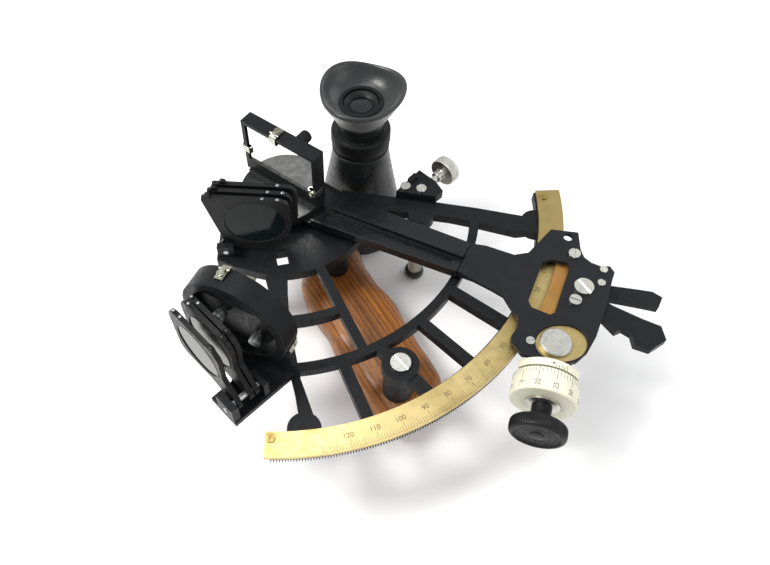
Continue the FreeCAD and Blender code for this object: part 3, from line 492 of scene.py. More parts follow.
def lens():
    m = Finish("coated_lens")
    m.set(color=(0.86, 0.92, 0.95), transmission=1.0, ior=1.5)
    m.set(roughness=m.patches(size=6.0, detail=4.0, span=(0.45, 0.85), to=(0.0, 0.05)))
    m.set(coat=0.6, coat_roughness=0.03, coat_tint=(0.55, 0.62, 0.95))
    m.bump(m.noise(size=10.0, detail=2.0), depth=0.002, strength=0.2)
    return m.done()


def eye_lens():
    """Eye lens seen against the black inside of the tube: dark, with a polished surface."""
    m = Finish("dark_eye_lens")
    m.set(specular=0.35, coat=0.25, coat_roughness=0.04)
    m.set(color=m.mix(m.noise(size=6.0), under=(0.003, 0.004, 0.005), over=(0.006, 0.008, 0.010)))
    m.set(roughness=m.patches(size=6.0, detail=4.0, span=(0.45, 0.85), to=(0.06, 0.16)))
    m.bump(m.noise(size=5.0, detail=2.0), depth=0.003, strength=0.3)
    return m.done()


def ink(name, dark, pale, rough=0.5):
    """Ink filling of an engraving, worn paler in patches."""
    m = Finish(name)
    m.set(specular=0.3)
    worn = m.patches(size=0.5, detail=4.0, gain=0.7, span=(0.35, 0.75), to=(0.0, 1.0))
    m.set(color=m.mix(worn, under=dark, over=pale))
    m.set(roughness=m.patches(size=0.6, to=(rough - 0.1, rough + 0.15)))
    m.bump(m.noise(size=0.3, detail=2.0), depth=0.01, strength=0.4)
    return m.done()


def pale_floor():
    m = Finish("pale_floor")
    m.set(color=m.mix(m.noise(size=60.0), under=(0.90, 0.90, 0.90), over=(0.93, 0.93, 0.93)))
    m.set(roughness=m.patches(size=20.0, to=(0.55, 0.7)))
    m.bump(m.noise(size=1.5), depth=0.01, strength=0.2)
    return m.done()


ARC_BRASS = arc_brass(
    "arc_brass", base=(0.66, 0.53, 0.25), dark=(0.42, 0.31, 0.11), spot=(0.22, 0.14, 0.05))
INDEX_BRONZE = arc_brass(
    "index_bronze", base=(0.64, 0.38, 0.13), dark=(0.44, 0.22, 0.06), spot=(0.20, 0.10, 0.04))
IVORY = ivory()
WOOD = wood()
RUBBER = rubber()
SHADE_GLASSES = (
    shade_glass("shade_glass_green", tint=(0.0050, 0.0080, 0.0080), clear=0.04),
    shade_glass("shade_glass_grey", tint=(0.0050, 0.0058, 0.0065), clear=0.04),
    shade_glass("shade_glass_smoke", tint=(0.0050, 0.0085, 0.0088), clear=0.03),
)
MIRROR = silvering("silvered_mirror").done()
HALF_MIRROR = half_mirror()
MIRROR_EDGE = mirror_edge()
LENS = lens()
EYE_LENS = eye_lens()
INK_BROWN = ink("engraving_brown", dark=(0.075, 0.048, 0.02), pale=(0.21, 0.145, 0.065))
INK_BLACK = ink("engraving_black", dark=(0.03, 0.03, 0.028), pale=(0.12, 0.115, 0.10))


# ------------------------------------------------------------------ piece builder
def steady(r, z, angle):
    return r, z


def flute(count, depth, from_radius):
    """Lathe shape with grooves along every part that is at least from_radius wide."""
    def shape(r, z, angle):
        if r >= from_radius:
            return r - depth * (0.5 - 0.5 * math.cos(count * angle)), z
        return r, z
    return shape


class Piece:
    """Collects the vertices and faces of one piece, in millimetres."""

    def __init__(self):
        self.verts, self.faces = [], []

    def add(self, verts, faces, matrix=Matrix.Identity(4)):
        first = len(self.verts)
        self.verts += [matrix @ Vector(p) for p in verts]
        self.faces += [tuple(i + first for i in face) for face in faces]

    def lathe(self, profile, segments, matrix, shape=steady, closed=False):
        """Turns (r, z) points about Z; shape(r, z, angle) can move each point."""
        verts, faces, rows = [], [], []
        for r, z in profile:
            if abs(r) < 1e-9:
                rows.append([len(verts)])
                verts.append((0, 0, z))
                continue
            row = []
            for i in range(segments):
                angle = 2 * math.pi * i / segments
                radius, height = shape(r, z, angle)
                row.append(len(verts))
                verts.append((radius * math.cos(angle), radius * math.sin(angle), height))
            rows.append(row)
        pairs = list(zip(rows, rows[1:]))
        if closed:
            pairs.append((rows[-1], rows[0]))
        for row, after in pairs:
            for i in range(segments):
                j = (i + 1) % segments
                if len(row) == 1:
                    faces.append((row[0], after[i], after[j]))
                elif len(after) == 1:
                    faces.append((row[i], after[0], row[j]))
                else:
                    faces.append((row[i], after[i], after[j], row[j]))
        self.add(verts, faces, matrix)

    def extrude(self, outline, bottom, top, matrix, ease):
        """Prism of a plan outline with eased top and bottom edges."""
        n = len(outline)
        mid_x = sum(p[0] for p in outline) / n
        mid_y = sum(p[1] for p in outline) / n
        small = []
        for x, y in outline:
            reach = math.hypot(x - mid_x, y - mid_y)
            shrink = (reach - ease) / reach
            small.append((mid_x + (x - mid_x) * shrink, mid_y + (y - mid_y) * shrink))
        rings = [(small, bottom), (outline, bottom + ease), (outline, top - ease), (small, top)]
        verts = [(x, y, z) for ring, z in rings for x, y in ring]
        faces = [tuple(range(n))[::-1], tuple(3 * n + i for i in range(n))]
        for k in range(3):
            for i in range(n):
                j = (i + 1) % n
                faces.append((k * n + i, k * n + j, (k + 1) * n + j, (k + 1) * n + i))
        self.add(verts, faces, matrix)

    def screw(self, radius, height, slot, depth, matrix, segments=36):
        """Slotted screw head standing on z = 0."""
        start = math.asin(slot / 2.0 / radius)
        steps = segments // 2
        angles = [start + (math.pi - 2 * start) * k / steps for k in range(steps + 1)]
        floor = height - depth
        for side in (1, -1):
            half = [(radius * math.cos(a), side * radius * math.sin(a)) for a in angles]
            self.extrude(half, floor, height, matrix, ease=0.12)
        self.lathe([(0, 0), (radius, 0), (radius, floor), (0, floor)], segments, matrix)

    def strip(self, path, width, thick, matrix):
        """Bent sheet metal: path in (x, z), centred on y = 0."""
        n = len(path)
        verts, faces = [], []
        for i, (x, z) in enumerate(path):
            before = Vector(path[max(0, i - 1)])
            after = Vector(path[min(n - 1, i + 1)])
            along = (after - before).normalized()
            across = Vector((-along.y, along.x))
            for side in (-0.5, 0.5):
                for y in (-width / 2, width / 2):
                    verts.append((x + across.x * thick * side, y, z + across.y * thick * side))
        for i in range(n - 1):
            here, there = 4 * i, 4 * i + 4
            for a, b in ((0, 1), (1, 3), (3, 2), (2, 0)):
                faces.append((here + a, here + b, there + b, there + a))
        faces += [(0, 1, 3, 2), (4 * n - 4, 4 * n - 2, 4 * n - 1, 4 * n - 3)]
        self.add(verts, faces, matrix)

    def tube(self, path, radius, matrix=Matrix.Identity(4), segments=10):
        """Round wire along a path."""
        path = [Vector(p) for p in path]
        last = len(path) - 1
        verts, faces = [], []
        for i, centre in enumerate(path):
            along = (path[min(i + 1, last)] - path[max(i - 1, 0)]).normalized()
            side = along.cross(UP)
            if side.length < 0.1:   # the wire runs straight up or down here
                side = along.cross(Vector((1, 0, 0)))
            side.normalize()
            other = along.cross(side)
            for k in range(segments):
                angle = 2 * math.pi * k / segments
                verts.append(centre + side * radius * math.cos(angle)
                             + other * radius * math.sin(angle))
        for i in range(last):
            here, there = i * segments, (i + 1) * segments
            for k in range(segments):
                j = (k + 1) % segments
                faces.append((here + k, here + j, there + j, there + k))
        faces += [tuple(range(segments))[::-1], tuple(last * segments + k for k in range(segments))]
        self.add(verts, faces, matrix)

    def make(self, name, material, slot=None, body=None, matrix=Matrix.Identity(4), smooth=None):
        """Makes the object; smooth is the sharp-edge angle in degrees, None for flat faces."""
        mesh = bpy.data.meshes.new(name)
        mesh.from_pydata([tuple(v) for v in self.verts], [], self.faces)
        edit = bmesh.new()
        edit.from_mesh(mesh)
        bmesh.ops.recalc_face_normals(edit, faces=edit.faces)
        edit.transform(matrix)
        edit.to_mesh(mesh)
        edit.free()
        mesh.materials.append(material)
        if smooth is not None:
            mesh.polygons.foreach_set("use_smooth", [True] * len(mesh.polygons))
            mesh.set_sharp_from_angle(angle=math.radians(smooth))
        piece = bpy.data.objects.new(name, mesh)
        bpy.context.scene.collection.objects.link(piece)
        if body:
            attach(piece, body)
        return piece


def number_mesh(number, size):
    """Flat outline of a number as vertices and faces, centred on its box."""
    curve = bpy.data.curves.new("digits", "FONT")
    curve.body = str(number)
    curve.size = size
    curve.align_x = "CENTER"
    curve.align_y = "CENTER"
    curve.resolution_u = 3
    holder = bpy.data.objects.new("digits", curve)
    bpy.context.scene.collection.objects.link(holder)
    evaluated = holder.evaluated_get(bpy.context.evaluated_depsgraph_get())
    mesh = bpy.data.meshes.new_from_object(evaluated)
    verts = [tuple(p.co) for p in mesh.vertices]
    faces = [tuple(p.vertices) for p in mesh.polygons]
    bpy.data.objects.remove(holder)
    bpy.data.curves.remove(curve)
    bpy.data.meshes.remove(mesh)
    mid_x = (min(p[0] for p in verts) + max(p[0] for p in verts)) / 2
    mid_y = (min(p[1] for p in verts) + max(p[1] for p in verts)) / 2
    return [(p[0] - mid_x, p[1] - mid_y, 0) for p in verts], faces


# ------------------------------------------------------------------ finishes of the CAD nodes
NODE_FINISHES = (
    (WRINKLE_ENAMEL, (
        "frame", "handle_posts", "index_shade_bracket", "horizon_bracket",
        "horizon_mirror_frame", "telescope_holder", "worm_carriage", "release_lever",
        "fixed_lever", "index_mirror_frame")),
    (SATIN_ENAMEL, ("index_arm", "pivot_cap")),
    (DISC_ENAMEL, ("arm_disc",)),
    (PLATE_ENAMEL, ("end_plate",)),
    (PLASTIC, ("horizon_mirror_back", "focus_ring", "eyepiece_tube")),
    (TUBE_ENAMEL, ("telescope_tube",)),
    (ARC_BRASS, ("arc_scale", "pivot_bearing_plate")),
    (INDEX_BRONZE, ("index_plate",)),
    (RACK_BRONZE, ("pivot_bush", "worm_bushes")),
    (RACK_BLACK_SHADE, ("arc_rack",)),
    (NICKEL, ("frame_screws", "plate_screws", "carriage_pivot", "drum_washer")),
    (STEEL, ("shade_pins", "pivot_axle", "release_spring", "worm_shaft")),
    (IVORY, ("index_sleeve", "micrometer_drum")),
    (LENS, ("objective_lens",)),
    (EYE_LENS, ("eyepiece_lens",)),
    (MIRROR_EDGE, ("index_mirror_glass", "horizon_mirror_glass")),
)


def dress(node, material):
    """Gives a CAD node one material and smooth faces with creased edges."""
    piece = NODES[node]
    mesh = piece.data
    mesh.materials.clear()
    mesh.materials.append(material)
    mesh.polygons.foreach_set("use_smooth", [True] * len(mesh.polygons))
    weld = piece.modifiers.new("weld", "WELD")
    weld.merge_threshold = 2e-6
    crease = piece.modifiers.new("crease", "EDGE_SPLIT")
    crease.split_angle = math.radians(32)


def dress_faces(node, material, test):
    """Gives the faces that pass a test of centre and normal a second material."""
    mesh = NODES[node].data
    mesh.materials.append(material)
    index = len(mesh.materials) - 1
    for face in mesh.polygons:
        if test(face.center, face.normal):
            face.material_index = index


def dress_mirror(node, material, facing):
    """Silvers the two broad faces of a mirror glass."""
    dress_faces(node, material, lambda centre, normal: abs(normal.dot(facing)) > 0.95)


def dress_nodes():
    for material, nodes in NODE_FINISHES:
        for node in nodes:
            dress(node, material)
    for group in ("index", "horizon"):
        for k, glass in enumerate(SHADE_GLASSES, 1):
            dress("%s_shade_%d_frame" % (group, k), PLASTIC)
            dress("%s_shade_%d_glass" % (group, k), glass)
    # the outermost frame screws, more than 90 mm to either side, are brass
    dress_faces("frame_screws", SCREW_BRASS, lambda centre, normal: abs(centre.x) > 0.09)
    dress_mirror("index_mirror_glass", MIRROR, INDEX_MIRROR_TURN @ Vector((0, -1, 0)))
    dress_mirror("horizon_mirror_glass", HALF_MIRROR, HORIZON_MIRROR_TURN @ Vector((0, 0, -1)))


# ------------------------------------------------------------------ graduations of the arc
ZERO_ANGLE = -59.8         # plan angle of reading 0; two readings to each degree of plan
TICK_OUTER = 158.6
BORDER = (158.62, 158.78)  # radii of the line along the outer tick ends
NUMBER_RADIUS = 152.3
MARK_Z = 0.025             # just above the face of the arc
INDEX_ANGLE = -70.0        # plan angle of the index line
INDEX_MARK_Z = 2.02


def radial_mark(piece, angle, inner, outer, half_width, z):
    c, s = math.cos(math.radians(angle)), math.sin(math.radians(angle))
    corners = ((inner, half_width), (outer, half_width), (outer, -half_width), (inner, -half_width))
    piece.add([(r * c - w * s, r * s + w * c, z) for r, w in corners], [(0, 1, 2, 3)])


def arc_graduations():
    marks = Piece()
    for reading in range(-5, 131):
        inner = 154.6 if reading % 10 == 0 else (155.4 if reading % 5 == 0 else 156.2)
        half_width = 0.11 if reading % 5 == 0 else 0.09
        radial_mark(marks, ZERO_ANGLE - reading / 2.0, inner, TICK_OUTER, half_width, MARK_Z)
    border = [math.radians(ZERO_ANGLE + 2.5 - k * 0.25) for k in range(272)]
    inner, outer = BORDER
    for here, there in zip(border, border[1:]):
        corners = ((here, inner), (there, inner), (there, outer), (here, outer))
        marks.add([(r * math.cos(a), r * math.sin(a), MARK_Z) for a, r in corners],
                  [(0, 1, 2, 3)])
    for reading in range(0, 121, 10):
        verts, faces = number_mesh(reading, size=3.7)
        angle = ZERO_ANGLE - reading / 2.0
        x = NUMBER_RADIUS * math.cos(math.radians(angle))
        y = NUMBER_RADIUS * math.sin(math.radians(angle))
        marks.add(verts, faces, shift(x, y, MARK_Z) @ turn(angle + 90))
    marks.make("arc_graduations", INK_BROWN, "arc_brass", "frame", DRAWING)


def index_line():
    mark = Piece()
    radial_mark(mark, INDEX_ANGLE, inner=157.5, outer=161.8, half_width=0.14, z=INDEX_MARK_Z)
    mark.make("index_line", INK_BROWN, "index_bronze", "index_arm", DRAWING)


# ------------------------------------------------------------------ drum and sleeve markings
DRUM_RADIUS, SLEEVE_RADIUS = 16.0, 15.9
MINUTE = 6.0               # degrees of drum to one minute
DRUM_READING = 23.5        # minute that stands straight up
VERNIER_STEP = MINUTE * 4 / 5   # five divisions of the sleeve take four minutes


def around_worm(along, radius, angle):
    """Point along the worm, at an angle in degrees from straight up towards the outer side."""
    a = math.radians(angle)
    centre = OUTWARD * WORM_RADIUS + ALONG * along + UP * WORM_Z
    return centre + (UP * math.cos(a) + OUTWARD * math.sin(a)) * radius


def drum_graduations():
    marks = Piece()
    mark_radius = DRUM_RADIUS + 0.02
    start, steps = 71.75, 4
    for minute in range(60):
        angle = (minute - DRUM_READING) * MINUTE
        end, half_width = (77.4, 0.42) if minute % 5 == 0 else (74.8, 0.34)
        verts = [around_worm(start + (end - start) * i / steps, mark_radius, angle + offset)
                 for i in range(steps + 1) for offset in (-half_width, half_width)]
        marks.add(verts, [(2 * i, 2 * i + 1, 2 * i + 3, 2 * i + 2) for i in range(steps)])
    for minute in range(0, 60, 5):
        verts, faces = number_mesh(minute, size=3.6)
        angle = (minute - DRUM_READING) * MINUTE
        # numbers run from the knob side to the sleeve side, wrapped round the drum
        wrapped = [around_worm(80.3 - x, mark_radius, angle - math.degrees(y / DRUM_RADIUS))
                   for x, y, _ in verts]
        marks.add(wrapped, faces)
    marks.make("drum_graduations", INK_BLACK, "ivory", "micrometer", DRAWING)


def sleeve_marks():
    """Five vernier lines, and a dot straight up in place of the first line."""
    marks = Piece()
    end, half_width = 70.55, 0.4
    for k in range(1, 6):
        start = 68.0 if k == 5 else 68.9
        verts = [around_worm(along, SLEEVE_RADIUS + 0.02, k * VERNIER_STEP + offset)
                 for along in (start, end) for offset in (-half_width, half_width)]
        marks.add(verts, [(0, 1, 3, 2)])
    dot_along, dot_radius = 68.6, 0.55
    dot = []
    for i in range(16):
        a = 2 * math.pi * i / 16
        angle = math.degrees(dot_radius * math.sin(a) / SLEEVE_RADIUS)
        dot.append(around_worm(dot_along + dot_radius * math.cos(a), SLEEVE_RADIUS + 0.03, angle))
    marks.add(dot, [tuple(range(16))])
    marks.make("sleeve_marks", INK_BLACK, "ivory", "worm_carriage", DRAWING)


# ------------------------------------------------------------------ knob and thumbscrew
KNOB_PROFILE = (  # radius, distance along the worm
    (0, 87.0), (2.6, 85.05), (4.6, 85.05), (4.9, 85.4), (4.8, 88.0), (4.9, 91.2), (5.4, 92.3),
    (6.4, 93.2), (8.6, 93.9), (11.4, 94.2), (12.6, 94.5), (13.25, 95.0), (13.55, 95.8),
    (13.6, 97.2), (13.6, 98.6), (13.45, 99.9), (13.0, 100.7), (12.3, 101.2), (11.6, 101.35),
    (11.1, 101.1), (10.8, 100.5), (10.4, 100.3), (8.9, 100.35), (8.7, 100.15), (8.4, 100.35),
    (6.5, 100.4), (6.3, 100.2), (6.0, 100.4), (3.6, 100.5), (3.3, 101.0), (2.6, 101.2),
    (0, 101.25),
)
THUMBSCREW_PROFILE = (  # radius, distance from the holder
    (0, 0), (2.0, 0), (2.0, 7.4), (3.0, 7.5), (3.2, 7.8), (3.2, 11.4), (3.5, 11.9), (6.2, 12.3),
    (8.0, 12.8), (8.4, 13.3), (8.4, 15.6), (8.4, 18.2), (8.1, 18.8), (7.2, 19.0), (6.9, 19.4),
    (6.8, 20.0), (6.3, 20.3), (0, 20.35),
)


def drum_knob():
    across = axes(OUTWARD, ALONG.cross(OUTWARD), ALONG)
    place = placed(*(OUTWARD * WORM_RADIUS).to_2d(), WORM_Z, across)
    knob = Piece()
    knob.lathe(KNOB_PROFILE, 240, place, flute(count=60, depth=0.32, from_radius=13.2))
    turned = knob.make("knob_turned", PLASTIC, "black_plastic", "micrometer", smooth=30)
    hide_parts("micrometer_knob")


def holder_thumbscrew():
    """Knurled thumbscrew of the telescope holder, pointing along +X."""
    along_x = axes(Vector((0, 1, 0)), Vector((0, 0, 1)), Vector((1, 0, 0)))
    screw = Piece()
    screw.lathe(THUMBSCREW_PROFILE, 216, placed(65.6, -54.0, 1.0, along_x),
                flute(count=42, depth=0.38, from_radius=8.3))
    knurled = screw.make("thumbscrew_knurled", NICKEL, "nickel", "thumbscrew", smooth=28)
    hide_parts("holder_thumbscrew")


# ------------------------------------------------------------------ wooden grip
GRIP_LOW_X = (  # plan outline (x, y) of the -X side
    (-19, -31), (-27, -52), (-29.5, -66), (-34.5, -80), (-37, -93), (-42.5, -107),
    (-46, -124), (-46.5, -133), (-46, -139),
)
GRIP_HIGH_X = (  # plan outline (x, y) of the +X side
    (25, -31), (25, -38), (17.5, -54), (14.5, -66), (13, -80), (6, -99), (1, -115),
    (-4, -133), (-6, -139),
)
GRIP_START_Y, GRIP_END_Y = -27.5, -137.5
GRIP_ROWS, GRIP_SIDES = 72, 56
GRIP_Z = -44.5                          # mid height
GRIP_HALF_HEIGHT = 13.3
START_ROUNDING, END_ROUNDING = 11, 9    # lengths over which the two ends close
GRIP_SQUARENESS = 3.1                   # superellipse exponent of the section
GRIP_SCREWS = ((-30.0, -122.7), (2.0, -43.0))   # x, y


def outline_x(outline, y):
    """x of an outline at y, part straight and part smoothed between its points."""
    if y > outline[0][1]:
        return outline[0][0]
    for start, end in zip(outline, outline[1:]):
        if start[1] >= y >= end[1]:
            s = (start[1] - y) / (start[1] - end[1])
            s = s * s * (3 - 2 * s) * 0.45 + s * 0.55
            return start[0] + (end[0] - start[0]) * s


def rounding(distance, reach):
    """Quarter-circle growth from 0 at an end to 1 at reach from it."""
    short = max(0.0, reach - distance) / reach
    return math.sqrt(max(0.0, 1 - short ** 2))


def superellipse(value):
    return math.copysign(abs(value) ** (2.0 / GRIP_SQUARENESS), value)


def wooden_grip():
    verts, faces, rows = [], [], []
    for i in range(GRIP_ROWS + 1):
        s = i / GRIP_ROWS
        y = GRIP_START_Y + (GRIP_END_Y - GRIP_START_Y) * s
        low, high = outline_x(GRIP_LOW_X, y), outline_x(GRIP_HIGH_X, y)
        centre, half_width = (low + high) / 2, (high - low) / 2
        half_height = GRIP_HALF_HEIGHT + 0.2 * math.sin(s * 9.0)   # slight swell and waist
        close = max(0.02, min(rounding(GRIP_START_Y - y, START_ROUNDING),
                              rounding(y - GRIP_END_Y, END_ROUNDING)))
        narrow = 0.62 + 0.38 * close if close > 0.03 else 0.55
        row = []
        for k in range(GRIP_SIDES):
            angle = 2 * math.pi * k / GRIP_SIDES
            x = superellipse(math.cos(angle)) * half_width * narrow
            z = superellipse(math.sin(angle)) * half_height * close
            row.append(len(verts))
            verts.append((centre + x, y, GRIP_Z + z))
        rows.append(row)
    for row, after in zip(rows, rows[1:]):
        for k in range(GRIP_SIDES):
            j = (k + 1) % GRIP_SIDES
            faces.append((row[k], row[j], after[j], after[k]))
    faces += [tuple(rows[0]), tuple(rows[-1][::-1])]
    body = Piece()
    body.add(verts, faces)
    grip = body.make("grip_shaped", WOOD, "grip_wood", "frame", DRAWING, smooth=60)
    rounder = grip.modifiers.new("round", "SUBSURF")
    rounder.levels = rounder.render_levels = 1
    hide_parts("handle_grip")


def grip_screws():
    """Brass washers and slotted screws on the underside of the grip."""
    screws = Piece()
    washer = ((0, 0), (5.6, 0), (5.6, 0.5), (5.2, 0.9), (0, 0.9))
    for x, y in GRIP_SCREWS:
        screws.lathe(washer, 48, shift(x, y, -57.5) @ turn(180, "X"))
        screws.screw(radius=4.0, height=1.9, slot=1.0, depth=0.7,
                     matrix=shift(x, y, -58.1) @ turn(180, "X"))
    screws.make("grip_screws", SCREW_BRASS, "nickel", "frame", DRAWING, smooth=30)


# ------------------------------------------------------------------ legs and feet
LEGS = ((50.0, -64.0, -9.0), (-43.0, -14.0, -8.0))   # x, y, z of the top
GRIP_FOOT = (-26.0, -124.0, 0)                       # foot under the grip
LEG_PROFILE = (  # radius, distance below the top
    (0, 0), (6.2, 0), (6.2, 1.0), (5.9, 1.3), (5.9, 2.0), (6.2, 2.3), (6.2, 15.0),
    (5.7, 15.8), (4.4, 16.2), (4.2, 17.0),
)
LEG_END = ((4.2, -60.5), (0, -60.5))                 # radius, z
TIP_PROFILE = (  # radius, z
    (0, -58.9), (4.7, -58.9), (5.6, -59.6), (6.0, -60.8), (6.0, -62.8), (5.6, -63.8),
    (4.6, -63.98), (0, -63.98),
)
GRIP_FOOT_PROFILE = (  # radius, z
    (0, -57.6), (6.4, -57.6), (6.6, -58.6), (6.2, -61.5), (5.8, -63.4), (5.0, -63.98),
    (0, -63.98),
)


def legs():
    posts, tips = Piece(), Piece()
    for x, y, top in LEGS:
        profile = [(r, top - drop) for r, drop in LEG_PROFILE] + list(LEG_END)
        posts.lathe(profile, 56, shift(x, y, 0))
        tips.lathe(TIP_PROFILE, 56, shift(x, y, 0))
    tips.lathe(GRIP_FOOT_PROFILE, 56, shift(*GRIP_FOOT))
    leg_posts = posts.make("leg_posts", LEG_ALLOY, "nickel", "frame", DRAWING, smooth=30)
    tips.make("leg_tips", RUBBER, "black_rubber", "frame", DRAWING, smooth=40)
    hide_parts("legs")


# ------------------------------------------------------------------ eyecup and telescope rings
TELESCOPE = placed(53.0, -11.5, -ARC_HEIGHT)   # lathe z below is height above the floor
EYECUP_PROFILE = (  # radius, height
    (10.6, 104.0), (10.6, 110.6), (12.2, 111.2), (13.6, 111.5), (16.4, 113.0), (19.0, 116.0),
    (20.6, 118.6), (21.6, 120.6), (22.5, 121.8), (23.3, 121.9), (23.9, 121.2), (23.7, 119.8),
    (22.2, 117.0), (20.6, 113.4), (18.6, 109.2), (16.6, 105.4), (15.2, 103.2), (14.7, 102.2),
    (14.9, 101.5), (14.3, 100.9), (13.0, 100.8), (12.9, 101.6), (12.5, 102.6), (12.45, 104.0),
)
LENS_STOP_PROFILE = (
    (6.4, 108.6), (10.35, 109.8), (10.35, 110.6), (9.6, 110.9), (6.9, 110.0), (6.2, 109.3),
)
FOCUS_PROFILE = (
    (16.0, 82.8), (17.1, 83.0), (17.35, 83.5), (17.35, 90.6), (17.1, 91.1), (16.0, 91.3),
)
RING_PROFILE = (  # radius beyond the tube, height from the middle of the ring
    (-0.6, -0.9), (0.25, -0.7), (0.45, 0), (0.25, 0.7), (-0.6, 0.9),
)
TUBE_RINGS = ((22.0, 25.2), (78.0, 16.5))   # height, tube radius


def three_lobed(r, z, angle):
    """Flares the wide part of the eyecup into three lobes."""
    k = max(0.0, min(1.0, (r - 13.0) / 10.0))
    lobes = math.cos(3 * (angle - math.radians(205)))
    return r * (1 + 0.045 * k * k * lobes), z - 1.1 * k * k * (1 - lobes) * 0.9


def telescope_parts():
    cup = Piece()
    cup.lathe(EYECUP_PROFILE, 120, TELESCOPE, three_lobed, closed=True)
    eyecup = cup.make("eyecup_flared", RUBBER, "black_rubber", "eyepiece", smooth=60)
    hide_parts("eyecup")
    stop = Piece()
    stop.lathe(LENS_STOP_PROFILE, 72, TELESCOPE, closed=True)
    stop.make("eye_lens_stop", PLASTIC, "black_plastic", "eyepiece", smooth=30)
    knurl = Piece()
    knurl.lathe(FOCUS_PROFILE, 240, TELESCOPE, flute(count=80, depth=0.3, from_radius=17.2),
                closed=True)
    knurl.make("focus_knurl", PLASTIC, "black_plastic", "focus", smooth=25)
    rings = Piece()
    for height, radius in TUBE_RINGS:
        profile = [(radius + r, height + z) for r, z in RING_PROFILE]
        rings.lathe(profile, 96, TELESCOPE, closed=True)
    rings.make("tube_rings", TUBE_ENAMEL, "black_enamel", "telescope", smooth=40)


# ------------------------------------------------------------------ mirror clips and adjusters
# Clip paths are (x, z): x out of the frame edge, z along the normal of the frame bar.
INDEX_CLIP = (
    (0.9, 7.2), (0.9, 6.4), (0.9, 1.2), (0.7, 0.3), (0.0, -0.25), (-1.2, -0.35), (-4.2, -0.3),
    (-4.9, 0.2), (-5.3, 0.9),
)
INDEX_CLIP_LEAF = ((1.5, 5.4), (1.9, 4.0), (1.9, 1.4), (1.3, 0.2))
SLIM_CLIP = (
    (0.55, 5.6), (0.55, 4.0), (0.55, 1.2), (0.4, 0.3), (-0.2, -0.25), (-1.2, -0.35),
    (-4.2, -0.3), (-4.9, 0.2), (-5.3, 0.9),
)
HORIZON_CLIP = (
    (0.9, 8.4), (0.95, 6.0), (0.9, 1.0), (0.5, 0.1), (-0.4, -0.35), (-2.0, -0.45),
    (-8.0, -0.4), (-8.8, 0.2), (-9.0, 1.4),
)
HORIZON_CLIP_LEAF = ((1.6, 7.0), (2.2, 5.4), (2.2, 2.2), (1.4, 0.9))
INDEX_MIRROR = placed(rotation=INDEX_MIRROR_TURN)   # x across, y front (-) to back (+), z up
HORIZON_MIRROR = placed(-74.0, -59.0, 31.0, HORIZON_MIRROR_TURN)
INDEX_ADJUSTERS = ((7.5, 42.6), (-18.0, 20.0))      # x, z in the index mirror frame
INDEX_ADJUSTER_PROFILE = (
    (0, 0), (2.2, 0), (2.2, 1.2), (3.3, 1.5), (3.6, 1.9), (3.6, 7.2), (3.3, 7.9), (2.4, 8.4),
    (2.2, 8.0), (0, 8.0),
)
HORIZON_CLIP_ANGLES = (102.0, 215.0, -25.0)
HORIZON_ADJUSTERS = ((-9.0, -1.0), (11.0, -9.0))    # x, y in the horizon mirror frame
HORIZON_ADJUSTER_PROFILE = (
    (0, 6.2), (2.0, 6.2), (2.0, 7.2), (3.1, 7.5), (3.4, 7.9), (3.4, 12.2), (3.1, 12.8),
    (0, 12.9),
)


def slim_clip(piece, place):
    """Clip that passes close to the shades, so its loop stands in front of the frame."""
    piece.strip(SLIM_CLIP, 4.0, 0.45, place)
    loop = []
    for i in range(21):
        angle = 2 * math.pi * i / 20
        loop.append((-2.6 + 1.3 * math.cos(angle), 2.6 * math.sin(angle), -0.9))
    piece.tube(loop, 0.35, place)
    piece.screw(radius=1.3, height=0.8, slot=0.5, depth=0.4, segments=24,
                matrix=place @ shift(-2.6, 0, -0.5) @ turn(180, "Y"))


def index_clip(piece, place):
    """Spring clip with a second leaf, a slotted screw and a cross wire."""
    piece.strip(INDEX_CLIP, 4.4, 0.55, place)
    piece.strip(INDEX_CLIP_LEAF, 2.2, 0.45, place)
    piece.screw(radius=1.9, height=1.3, slot=0.6, depth=0.6, segments=24,
                matrix=place @ shift(1.2, 0, 4.6) @ turn(90, "Y"))
    piece.tube([(1.1, 2.9, 1.9), (1.4, -2.9, 1.9)], 0.65, place)


def horizon_clip(piece, place):
    piece.strip(HORIZON_CLIP, 4.6, 0.6, place)
    piece.strip(HORIZON_CLIP_LEAF, 2.4, 0.5, place)
    piece.screw(radius=2.0, height=1.4, slot=0.65, depth=0.6, segments=24,
                matrix=place @ shift(1.2, 0, 5.6) @ turn(90, "Y"))
    piece.tube([(1.2, -3.1, 2.6), (1.2, 3.1, 2.6)], 0.75, place)


def index_mirror_fittings():
    x, y, z = Vector((1, 0, 0)), Vector((0, 1, 0)), UP
    clips = Piece()
    for clip, place in (
            (index_clip, shift(-3.4, 0.35, 47.2) @ axes(z, x, y)),      # top bar
            (index_clip, shift(-27.0, 0.35, 26.1) @ axes(-x, z, y)),    # bar at -X
            (slim_clip, shift(25.0, 0.35, 19.1) @ axes(x, -z, y))):     # bar at +X
        clip(clips, INDEX_MIRROR @ place)
    bent = clips.make("index_mirror_clips_bent", CLIP_CHROME, "nickel", "index_arm", smooth=30)
    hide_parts("index_mirror_clips")
    adjusters = Piece()
    for x, z in INDEX_ADJUSTERS:
        adjusters.lathe(INDEX_ADJUSTER_PROFILE, 120,
                        INDEX_MIRROR @ shift(x, 8.9, z) @ turn(-90, "X"),
                        flute(count=24, depth=0.3, from_radius=3.4))
    knurled = adjusters.make("index_mirror_adjusters_knurled", PLASTIC, "nickel", "index_arm",
                             smooth=28)
    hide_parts("index_mirror_adjusters")


